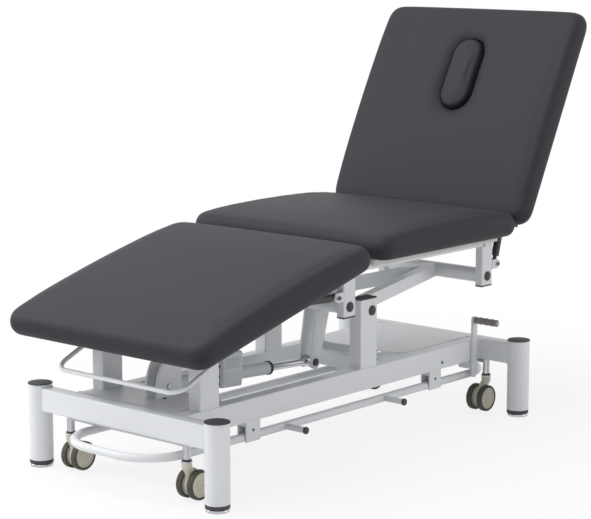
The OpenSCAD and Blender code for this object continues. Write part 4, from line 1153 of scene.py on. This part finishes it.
class COUCH_OT_castor_wheels(bpy.types.Operator):
    """Make the tyres and the centres of the twin wheels."""

    bl_idname = "couch.castor_wheels"
    bl_label = "Castor wheels"

    def execute(self, context):
        for corner in CORNERS:
            node = f"wheels_{corner}"
            axle = pivot(f"wheels_{corner}_roll")
            diameter = high(node)[2] - low(node)[2]
            half = (high(node)[1] - low(node)[1]) / 2
            tyres = []
            centres = []
            for side in (-1, 1):
                inner = axle + side * (half - WHEEL_WIDTH) * Y_AXIS
                tyre, centre = wheel_shapes(inner, side, diameter, WHEEL_WIDTH)
                tyres.append(tyre)
                centres.append(centre)
            body = f"wheel_pair_{corner}"
            piece(f"castor_tyres_{corner}", joined(tyres), body, tread_rubber(), (node,))
            piece(f"castor_centres_{corner}", joined(centres), body, nylon())
        return {"FINISHED"}


class COUCH_OT_castor_bodies(bpy.types.Operator):
    """Make the hoods of the castors, their bearing cups and the rings on their stems."""

    bl_idname = "couch.castor_bodies"
    bl_label = "Castor bodies"

    def execute(self, context):
        for corner in CORNERS:
            node = f"castor_{corner}"
            stem = pivot(f"swivel_{corner}_turn")
            axle = pivot(f"wheels_{corner}_roll")
            trail = axle[0] - stem[0]
            wheel = high(f"wheels_{corner}")[2] - low(f"wheels_{corner}")[2]
            web = high(f"wheels_{corner}")[1] - low(f"wheels_{corner}")[1] - 2 * WHEEL_WIDTH - 2 * MM
            radius = axle[2] - low(node)[2]
            top = low("castor_stems")[2]
            half = web / 2
            edge = 2 * MM
            bevel = 0.4 * edge
            disc = lathe([
                [0, -half], [radius - edge, -half], [radius - bevel, -half + bevel], [radius, -half + edge],
                [radius, half - edge], [radius - bevel, half - bevel], [radius - edge, half], [0, half]], 64)
            wheel_top = axle[2] + wheel / 2
            round_width = 26 * MM
            hood = lofted([
                (axle[2], 1.6 * radius, web, 4 * MM, trail),
                (axle[2] + 0.5 * radius, 1.62 * radius, web, 4 * MM, trail * 0.96),
                (axle[2] + 0.85 * radius, 1.4 * radius, web, 5 * MM, trail * 0.8),
                (wheel_top - 4 * MM, 1.2 * radius, web, 6 * MM, trail * 0.5),
                (wheel_top + 2 * MM, 1.02 * radius, web + 3 * MM, 7 * MM, trail * 0.2),
                (wheel_top + 8 * MM, round_width + 1 * MM, round_width * 0.92, 11 * MM, 0.0),
                (wheel_top + 14 * MM, round_width, round_width, 12.9 * MM, 0.0),
                (top - 5 * MM, round_width, round_width, 12.9 * MM, 0.0),
                (top - 4.4 * MM, round_width - 1.6 * MM, round_width - 1.6 * MM, 12.1 * MM, 0.0)],
                stem[:2])
            body = f"swivel_{corner}"
            shape = joined([placed(disc, axle, Y_AXIS), hood])
            piece(f"castor_hood_{corner}", shape, body, nylon(), (node,), sharp_angle=50)
            cup = lathe(millimetres(0, -4.6, 13.2, -4.6, 14, -4, 14, -1.4, 13.4, -0.6, 0, -0.6), 48)
            piece(f"castor_cup_{corner}", placed(cup, (*stem[:2], top)), body, zinc())
            ring = ring_lathe(millimetres(9.4, 0.2, 11.6, 0.2, 12.2, 0.8, 12.2, 3.6, 11.4, 4.6, 9.4, 4.6), 48)
            black_piece(f"stem_ring_{corner}", placed(ring, (*stem[:2], top)), "castor_lift")
        return {"FINISHED"}


class COUCH_OT_round_caps(bpy.types.Operator):
    """Make the caps of the legs, of the pivots and of the pegs."""

    bl_idname = "couch.round_caps"
    bl_label = "Round caps"

    def execute(self, context):
        dome = sizes().cap_dome
        leg_top = high("legs")[2]
        shapes = []
        for lowest, highest in quarters("leg_caps"):
            radius = (highest[0] - lowest[0]) / 2
            profile = domed_cap(radius, 2.8 * MM, dome, 1.6 * MM)
            centre = (lowest + highest) / 2
            shapes.append(placed(lathe(profile, 72), (centre[0], centre[1], leg_top - 0.1 * MM)))
        black_piece("leg_cap_domes", joined(shapes), "base", "leg_caps")
        carriers = (("base_pin_caps", "posts", "base"), ("frame_pin_caps", "drop_legs", "frame"))
        for node, carrier, body in carriers:
            face = high(carrier)[1]
            shapes = []
            for lowest, highest in quarters(node):
                radius = (highest[2] - lowest[2]) / 2 * 1.1
                centre = (lowest + highest) / 2
                side = math.copysign(1.0, centre[1])
                place = (centre[0], side * (face - 0.1 * MM), centre[2])
                profile = domed_cap(radius, 3.4 * MM, dome, 2 * MM)
                shapes.append(placed(lathe(profile), place, side * Y_AXIS))
            black_piece(node.replace("caps", "domes"), joined(shapes), body, node)
        lowest = low("peg_caps")
        highest = high("peg_caps")
        radius = (highest[2] - lowest[2]) / 2
        shapes = []
        for x in (lowest[0] + radius, highest[0] - radius):
            profile = domed_cap(radius, highest[1] - lowest[1], 0.6 * MM, 1.8 * MM)
            shapes.append(placed(lathe(profile), (x, highest[1] + 0.1 * MM, lowest[2] + radius), -Y_AXIS))
        black_piece("peg_domes", joined(shapes), "foot_control", "peg_caps")
        return {"FINISHED"}


class COUCH_OT_square_caps(bpy.types.Operator):
    """Make the caps of the posts and of the drop legs."""

    bl_idname = "couch.square_caps"
    bl_label = "Square caps"

    def execute(self, context):
        shapes = []
        for lowest, highest in quarters("post_caps"):
            size = highest - lowest
            centre = (lowest + highest) / 2
            profile = millimetres(
                0, -4.1, -0.4, -3.6, -0.4, -1.6, 0.6, -0.6, 4, 0, 9, 1, 13, 3, 16, 3.8)
            shape = stacked(size[0], size[1], 5 * MM, profile)
            shapes.append(placed(shape, (centre[0], centre[1], highest[2]), Z_AXIS, X_AXIS))
        black_piece("post_cap_tops", joined(shapes), "base", "post_caps")
        shapes = []
        leg_end = low("drop_legs")[2]
        for lowest, highest in quarters("drop_leg_caps"):
            centre = (lowest + highest) / 2
            size = highest - lowest + 1.2 * MM
            profile = millimetres(0, 0.1, 0, -2.6, 0.8, -3.6, 3, -4.4, 7, -4.8)
            shape = stacked(size[0], size[1], 5 * MM, profile)
            shapes.append(placed(shape, (centre[0], centre[1], leg_end), Z_AXIS, X_AXIS))
        black_piece("drop_leg_plugs", joined(shapes), "frame", "drop_leg_caps")
        return {"FINISHED"}


class COUCH_OT_levelling_feet(bpy.types.Operator):
    """Make the levelling feet and the collars above them."""

    bl_idname = "couch.levelling_feet"
    bl_label = "Levelling feet"

    def execute(self, context):
        leg_end = low("legs")[2]
        collar_low = low("leg_collars")[2]
        collars = []
        for corner in CORNERS:
            node = f"level_foot_{corner}"
            centre = middle(node)
            radius = (high(node)[0] - low(node)[0]) / 2 + 1.4 * MM
            rim = collar_low
            foot = lathe([
                [0, 0.05 * MM], [radius - 1.8 * MM, 0.05 * MM], [radius - 0.6 * MM, 0.6 * MM],
                [radius, 2 * MM],
                [radius, rim - 3.4 * MM], [radius - 0.7 * MM, rim - 1.6 * MM],
                [radius - 2.4 * MM, rim - 0.4 * MM], [radius - 5 * MM, rim], [8.5 * MM, rim],
                [8.5 * MM, rim + 3 * MM], [6.8 * MM, rim + 4 * MM], [6.8 * MM, rim + 50 * MM],
                [0, rim + 51 * MM]], 72)
            place = (centre[0], centre[1], 0.0)
            piece(f"chrome_foot_{corner}", placed(foot, place), f"level_{corner}", chrome(), (node,))
            outer = radius + 1.4 * MM
            collar = ring_lathe([
                [outer - 9 * MM, rim + 0.3 * MM], [outer - 0.8 * MM, rim + 0.3 * MM], [outer, rim + 1 * MM],
                [outer, leg_end - 0.8 * MM], [outer - 0.6 * MM, leg_end - 0.1 * MM],
                [outer - 9 * MM, leg_end - 0.1 * MM]], 72)
            collars.append(placed(collar, place))
        black_piece("leg_collar_rings", joined(collars), "base", "leg_collars")
        return {"FINISHED"}


def along_lift(shape):
    """Shape drawn in the frame of the actuator."""
    points, faces = shape
    return LIFT.outward(points), faces


class COUCH_OT_motor_housing(bpy.types.Operator):
    """Make the actuator's motor housing with its seam, ribs and screws, and the wiper ring of its tube."""

    bl_idname = "couch.motor_housing"
    bl_label = "Motor housing"

    def execute(self, context):
        lowest, highest = LIFT.box("actuator_motor")
        size = highest - lowest
        centre = (lowest + highest) / 2
        seam = size[2] * 0.4
        profile = [
            (5 * MM, 0.0), (2 * MM, 0.8 * MM), (0.4 * MM, 3 * MM), (0.0, 6 * MM), (0.0, seam),
            (1.1 * MM, seam + 0.4 * MM), (1.1 * MM, seam + 1.8 * MM), (0.0, seam + 2.2 * MM),
            (0.5 * MM, size[2] - 9 * MM), (1.6 * MM, size[2] - 4 * MM), (4 * MM, size[2] - 1.2 * MM),
            (8 * MM, size[2])]
        box = stacked(size[0], size[1], 12 * MM, profile)
        shells = [placed(box, (centre[0], 0.0, lowest[2]), Z_AXIS, X_AXIS)]
        rib_rows = [(0.0, 1.6 * MM, 2.4 * MM, 0.7 * MM), (30 * MM, 1.6 * MM, 2.4 * MM, 0.7 * MM)]
        for place in np.linspace(-0.3, 0.3, 8):
            for side in (-1, 1):
                foot = (centre[0] + place * size[0], side * size[1] / 2, lowest[2] + seam + 12 * MM)
                shells.append(placed(lofted(rib_rows), foot, Z_AXIS, X_AXIS))
        shape = along_lift(joined(shells))
        piece("motor_shells", shape, "actuator", motor_plastic(), ("actuator_motor",))
        screws = []
        for across in (-0.36, 0.36):
            for share in (0.12, 0.34, 0.62, 0.88):
                place = (lowest[0] + 0.2 * MM, across * size[1], lowest[2] + share * size[2])
                screws.append(placed(socket_bolt(6 * MM, 24), place, -X_AXIS))
        black_piece("motor_screws", along_lift(joined(screws)), "actuator")
        tube_low, tube_high = LIFT.box("actuator_tube")
        radius = tube_high[1]
        wiper = ring_lathe([
            [radius * 0.62, -1 * MM], [radius + 1.2 * MM, -1 * MM], [radius + 1.8 * MM, 0.0],
            [radius + 1.8 * MM, 7 * MM], [radius + 1 * MM, 8.4 * MM], [radius * 0.62, 8.4 * MM]], 48)
        wiper = placed(wiper, (tube_high[0] - 6 * MM, 0.0, 0.0), X_AXIS)
        black_piece("rod_wiper", along_lift(wiper), "actuator")
        return {"FINISHED"}


class COUCH_OT_lever_grip(bpy.types.Operator):
    """Make the grip of the castor lever: a lathe with the radius R (1 + 0.07 cos(2 pi 4 s)) along it."""

    bl_idname = "couch.lever_grip"
    bl_label = "Lever grip"

    def execute(self, context):
        lowest = low("lever_grip")
        highest = high("lever_grip")
        length = highest[1] - lowest[1]
        radius = (highest[2] - lowest[2]) / 2
        s = np.linspace(0, 1, 90)
        ends = np.sqrt(1 - np.clip((np.abs(2 * s - 1) - 0.9) / 0.1, 0, 1) ** 2 * 0.55)
        wave = 1 + 0.07 * np.cos(2 * math.pi * 4 * s)
        profile = np.column_stack([radius * 0.97 * wave * ends, s * length])
        profile = np.concatenate([[[0.0, 0.0]], profile, [[0.0, length]]])
        start = (middle("lever_grip")[0], highest[1], middle("lever_grip")[2])
        grip = placed(lathe(profile), start, -Y_AXIS)
        piece("finger_grip", grip, "castor_lever", grip_plastic(), ("lever_grip",))
        end = (start[0], lowest[1] + 0.1 * MM, start[2])
        disc = lathe(domed_cap(radius * 0.5, 1.2 * MM, 0.8 * MM, 0.6 * MM))
        piece("grip_end", placed(disc, end, -Y_AXIS), "castor_lever", nylon())
        return {"FINISHED"}


class COUCH_OT_strut_rings(bpy.types.Operator):
    """Make the black rings where the rods leave the tubes of the struts."""

    bl_idname = "couch.strut_rings"
    bl_label = "Strut rings"

    def execute(self, context):
        for name in ("foot_strut", "back_strut"):
            axis = np.array(joint(f"{name}_slide")["axis"], float)
            start = pivot(f"{name}_turn")
            tube = f"{name}_tube"
            reach = ((node_points(tube) - start) @ axis).max()
            radius = 11 * MM
            ring = ring_lathe([
                [radius * 0.5, -2 * MM], [radius + 0.5 * MM, -2 * MM], [radius + 0.8 * MM, -1 * MM],
                [radius + 0.8 * MM, 5 * MM], [radius - 1 * MM, 7 * MM], [radius * 0.5, 7 * MM]], 40)
            across = high(tube)[1] - radius
            shapes = [placed(ring, start + reach * axis + side * across * Y_AXIS, axis) for side in (-1, 1)]
            black_piece(f"{name}_rings", joined(shapes), name)
        return {"FINISHED"}


class COUCH_OT_bolts(bpy.types.Operator):
    """Make the bolt heads on the hinges, the struts, the rails, the hangers and the cover."""

    bl_idname = "couch.bolts"
    bl_label = "Bolt heads"

    def execute(self, context):
        width = sizes().bolt_width
        ear_face = high("frame_lugs")[1]
        hinges = [pivot("foot_strut_turn"), pivot("back_strut_turn"), pivot("foot_tilt"), pivot("back_tilt")]
        heads = []
        for place in hinges:
            for side in (-1, 1):
                seat = (place[0], side * ear_face, place[2])
                heads.append(placed(socket_bolt(width), seat, side * Y_AXIS))
        piece("hinge_bolts", joined(heads), "frame", dark_steel())
        rail_face = high("side_rails")[1]
        foot_bar = middle("foot_bar")
        cover_end = low("cover_head")[0]
        clear_of_lever = 148 * MM
        heads = []
        for side in (-1, 1):
            seat = (cover_end + clear_of_lever, side * rail_face, low("side_rails")[2] + 19 * MM)
            heads.append(placed(socket_bolt(width * 0.8), seat, side * Y_AXIS))
        for x in (low("bar_hangers")[0] + 26 * MM, cover_end + 123.5 * MM):
            for side in (-1, 1):
                seat = (x, side * high("bar_hangers")[1] - side * 0.1 * MM, foot_bar[2] + 18 * MM)
                heads.append(placed(socket_bolt(width * 0.7), seat, side * Y_AXIS))
        piece("rail_bolts", joined(heads), "base", dark_steel())
        heads = []
        cover = high("cover_foot")
        for y in (-34 * MM, -126 * MM):
            seat = (cover[0] - 85 * MM, y, cover[2])
            heads.append(placed(socket_bolt(width * 0.8), seat, Z_AXIS))
        black_piece("cover_screws", joined(heads), "base")
        crank = pivot("raise_motor_tilt") + LIFT.along * LIFT.box("actuator_rod")[1][0]
        eye = high("actuator_rod")[1]
        knobs = []
        for side in (-1, 1):
            place = crank - LIFT.along * eye + side * high("head_crank")[1] * Y_AXIS
            knobs.append(placed(lathe(domed_cap(10.5 * MM, 4 * MM, 2 * MM, 1.6 * MM)), place, side * Y_AXIS))
        black_piece("crank_pin_caps", joined(knobs), "head_arm")
        return {"FINISHED"}


class COUCH_OT_weld_beads(bpy.types.Operator):
    """Make the weld beads where the legs, the rails and the posts meet."""

    bl_idname = "couch.weld_beads"
    bl_label = "Weld beads"

    def execute(self, context):
        beam_low = low("end_beams")
        beam_high = high("end_beams")
        rail_low = low("side_rails")
        rail_high = high("side_rails")
        mid_z = (beam_low[2] + beam_high[2]) / 2
        height = beam_high[2] - beam_low[2]
        beads = []
        for corner in CORNERS:
            leg = middle(f"level_foot_{corner}")
            leg_radius = high("legs")[0] - middle("level_foot_3")[0]
            inward = -math.copysign(1.0, leg[1])
            flat = evenly(np.pad(round_rectangle(BEAM_WIDTH, height, 4 * MM), ((0, 0), (0, 1))), 3 * MM, True)
            depth = np.sqrt(leg_radius**2 - np.minimum(flat[:, 0] ** 2, leg_radius**2 * 0.99))
            path = np.column_stack([leg[0] + flat[:, 0], leg[1] + inward * depth, mid_z + flat[:, 1]])
            beads.append(weld_bead(path, Y_AXIS, True))
            toward = -math.copysign(1.0, leg[0] - middle("legs")[0])
            rail_y = math.copysign(rail_high[1] - BEAM_WIDTH / 2, leg[1])
            x = leg[0] + toward * BEAM_WIDTH / 2
            flat = round_rectangle(BEAM_WIDTH, height, 4 * MM)
            path = np.column_stack([np.full(len(flat), x), rail_y + flat[:, 0], mid_z + flat[:, 1]])
            beads.append(weld_bead(path, X_AXIS, True))
        for lowest, highest in quarters("posts"):
            for x in (lowest[0], highest[0]):
                line = [(x, lowest[1] + 5 * MM, rail_high[2]), (x, highest[1] - 5 * MM, rail_high[2])]
                beads.append(weld_bead(line, Z_AXIS))
        piece("weld_beads", joined(beads), "base", powder_coat())
        return {"FINISHED"}


class COUCH_OT_stage(bpy.types.Operator):
    """Make the floor, the lights, the world and the camera."""

    bl_idname = "couch.stage"
    bl_label = "Studio stage"

    def execute(self, context):
        scene = context.scene
        scene.view_settings.view_transform = "Standard"
        make_floor()
        make_world()
        lamp("overhead_softbox", (-1.4, 0.6, 3.2), (0.0, 0.0, 0.6), 3.0, 80)
        lamp("left_softbox", (-2.3, 2.9, 2.1), (0.0, 0.0, 0.6), 2.0, 48)
        lamp("right_softbox", (2.2, -3.6, 1.1), (0.0, 0.0, 0.3), 2.4, 30)
        make_camera()
        return {"FINISHED"}


def seen_rays(sheet):
    """1 for rays of the camera, of reflections and of glass, else 0."""
    path = sheet.node("ShaderNodeLightPath")
    return path["Is Camera Ray"] + path["Is Glossy Ray"] + path["Is Transmission Ray"]


def make_floor():
    """Pale round floor: rings of a disc. The camera and reflections see it lifted towards plain white."""
    radius = 45.0
    rings = np.array([0.0, 0.5, 1.0, 2.0, 4.0, 8.0, 16.0, radius])
    angle = np.linspace(0, 2 * math.pi, 64, endpoint=False)
    x = rings[:, None] * np.cos(angle)
    y = rings[:, None] * np.sin(angle)
    points = np.stack([x, y, np.zeros_like(x)], axis=2).reshape(-1, 3)
    mesh = tidied(write_mesh("floor", (points, grid_faces(len(rings), len(angle)))))
    if mesh.polygons[0].normal.z < 0:
        mesh.flip_normals()
    floor = bpy.data.objects.new("floor", mesh)
    bpy.context.scene.collection.objects.link(floor)
    material = bpy.data.materials.new("studio_floor")
    material.use_nodes = True
    sheet = Sheet(material.node_tree)
    seen = seen_rays(sheet)
    matt = sheet.node("ShaderNodeBsdfDiffuse", None, {"Color": (0.86, 0.86, 0.86)})["BSDF"]
    white = sheet.node("ShaderNodeEmission", None, {"Color": (1.0, 1.0, 1.0), "Strength": 1.0})["Emission"]
    place = sheet.node("ShaderNodeTexCoord")["Object"]
    distance = sheet.node("ShaderNodeVectorMath", {"operation": "LENGTH"}, {"0": place})["Value"]
    reach = {"Value": distance, "From Min": 0.7, "From Max": 2.0, "To Min": 0.84, "To Max": 1.0}
    far = sheet.node("ShaderNodeMapRange", {"interpolation_type": "SMOOTHSTEP"}, reach)["Result"]
    share = seen * far
    mixed = sheet.node("ShaderNodeMixShader", None, {"Fac": share, "1": matt, "2": white})["Shader"]
    sheet.node("ShaderNodeOutputMaterial", None, {"Surface": mixed})
    mesh.materials.append(material)


def make_world():
    """Soft surround that the camera, reflections and glass see as white."""
    world = bpy.data.worlds.new("soft_surround")
    world.use_nodes = True
    bpy.context.scene.world = world
    sheet = Sheet(world.node_tree)
    strength = WORLD_LIGHT + (1 - WORLD_LIGHT) * seen_rays(sheet)
    values = {"Color": (1.0, 1.0, 1.0), "Strength": strength}
    light = sheet.node("ShaderNodeBackground", None, values)["Background"]
    sheet.node("ShaderNodeOutputWorld", None, {"Surface": light})


def aimed(place, target):
    """Turn of a lamp or a camera that looks from a place at a target."""
    return (Vector(target) - Vector(place)).to_track_quat("-Z", "Y").to_euler()


def lamp(name, place, target, size, power):
    """Square softbox."""
    data = bpy.data.lights.new(name, "AREA")
    data.shape = "SQUARE"
    data.size = size
    data.energy = power
    made = bpy.data.objects.new(name, data)
    made.location = place
    made.rotation_euler = aimed(place, target)
    bpy.context.scene.collection.objects.link(made)


def make_camera():
    """Camera at the photograph's viewpoint, in the frame of the couch."""
    data = bpy.data.cameras.new("photo_camera")
    data.sensor_fit = "HORIZONTAL"
    data.sensor_width = 36.0
    focal_pixels = 1993.2
    picture_width = 591
    data.lens = focal_pixels / picture_width * data.sensor_width
    made = bpy.data.objects.new("photo_camera", data)
    legs_middle = middle("legs")
    made.location = (legs_middle[0] - 3.96202, -3.466, 1.386)
    made.rotation_euler = (math.radians(80.39), 0.0, math.radians(-48.95))
    bpy.context.scene.collection.objects.link(made)
    bpy.context.scene.camera = made


OPERATORS = (
    COUCH_OT_finishes,
    COUCH_OT_plain_pads,
    COUCH_OT_back_pad,
    COUCH_OT_face_plug,
    COUCH_OT_castor_wheels,
    COUCH_OT_castor_bodies,
    COUCH_OT_round_caps,
    COUCH_OT_square_caps,
    COUCH_OT_levelling_feet,
    COUCH_OT_motor_housing,
    COUCH_OT_lever_grip,
    COUCH_OT_strut_rings,
    COUCH_OT_bolts,
    COUCH_OT_weld_beads,
    COUCH_OT_stage,
)


class COUCH_PT_panel(bpy.types.Panel):
    """Sidebar panel with the couch's settings and steps."""

    bl_idname = "COUCH_PT_panel"
    bl_label = "Treatment couch"
    bl_space_type = "VIEW_3D"
    bl_region_type = "UI"
    bl_category = "Couch"

    def draw(self, context):
        for group in (context.scene.couch_sizes, context.scene.couch_colours):
            box = self.layout.box()
            for name in group.__annotations__:
                box.prop(group, name)
        for operator in OPERATORS:
            self.layout.operator(operator.bl_idname)


CLASSES = (CouchSizes, CouchColours, *OPERATORS, COUCH_PT_panel)


def register():
    for cls in CLASSES:
        bpy.utils.register_class(cls)
    bpy.types.Scene.couch_sizes = PointerProperty(type=CouchSizes)
    bpy.types.Scene.couch_colours = PointerProperty(type=CouchColours)


def unregister():
    del bpy.types.Scene.couch_colours
    del bpy.types.Scene.couch_sizes
    for cls in reversed(CLASSES):
        bpy.utils.unregister_class(cls)


def main():
    """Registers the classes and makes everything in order."""
    register()
    bpy.ops.couch.finishes()
    bpy.ops.couch.plain_pads()
    bpy.ops.couch.back_pad()
    bpy.ops.couch.face_plug()
    bpy.ops.couch.castor_wheels()
    bpy.ops.couch.castor_bodies()
    bpy.ops.couch.round_caps()
    bpy.ops.couch.square_caps()
    bpy.ops.couch.levelling_feet()
    bpy.ops.couch.motor_housing()
    bpy.ops.couch.lever_grip()
    bpy.ops.couch.strut_rings()
    bpy.ops.couch.bolts()
    bpy.ops.couch.weld_beads()
    bpy.ops.couch.stage()


if __name__ == "__main__":
    main()
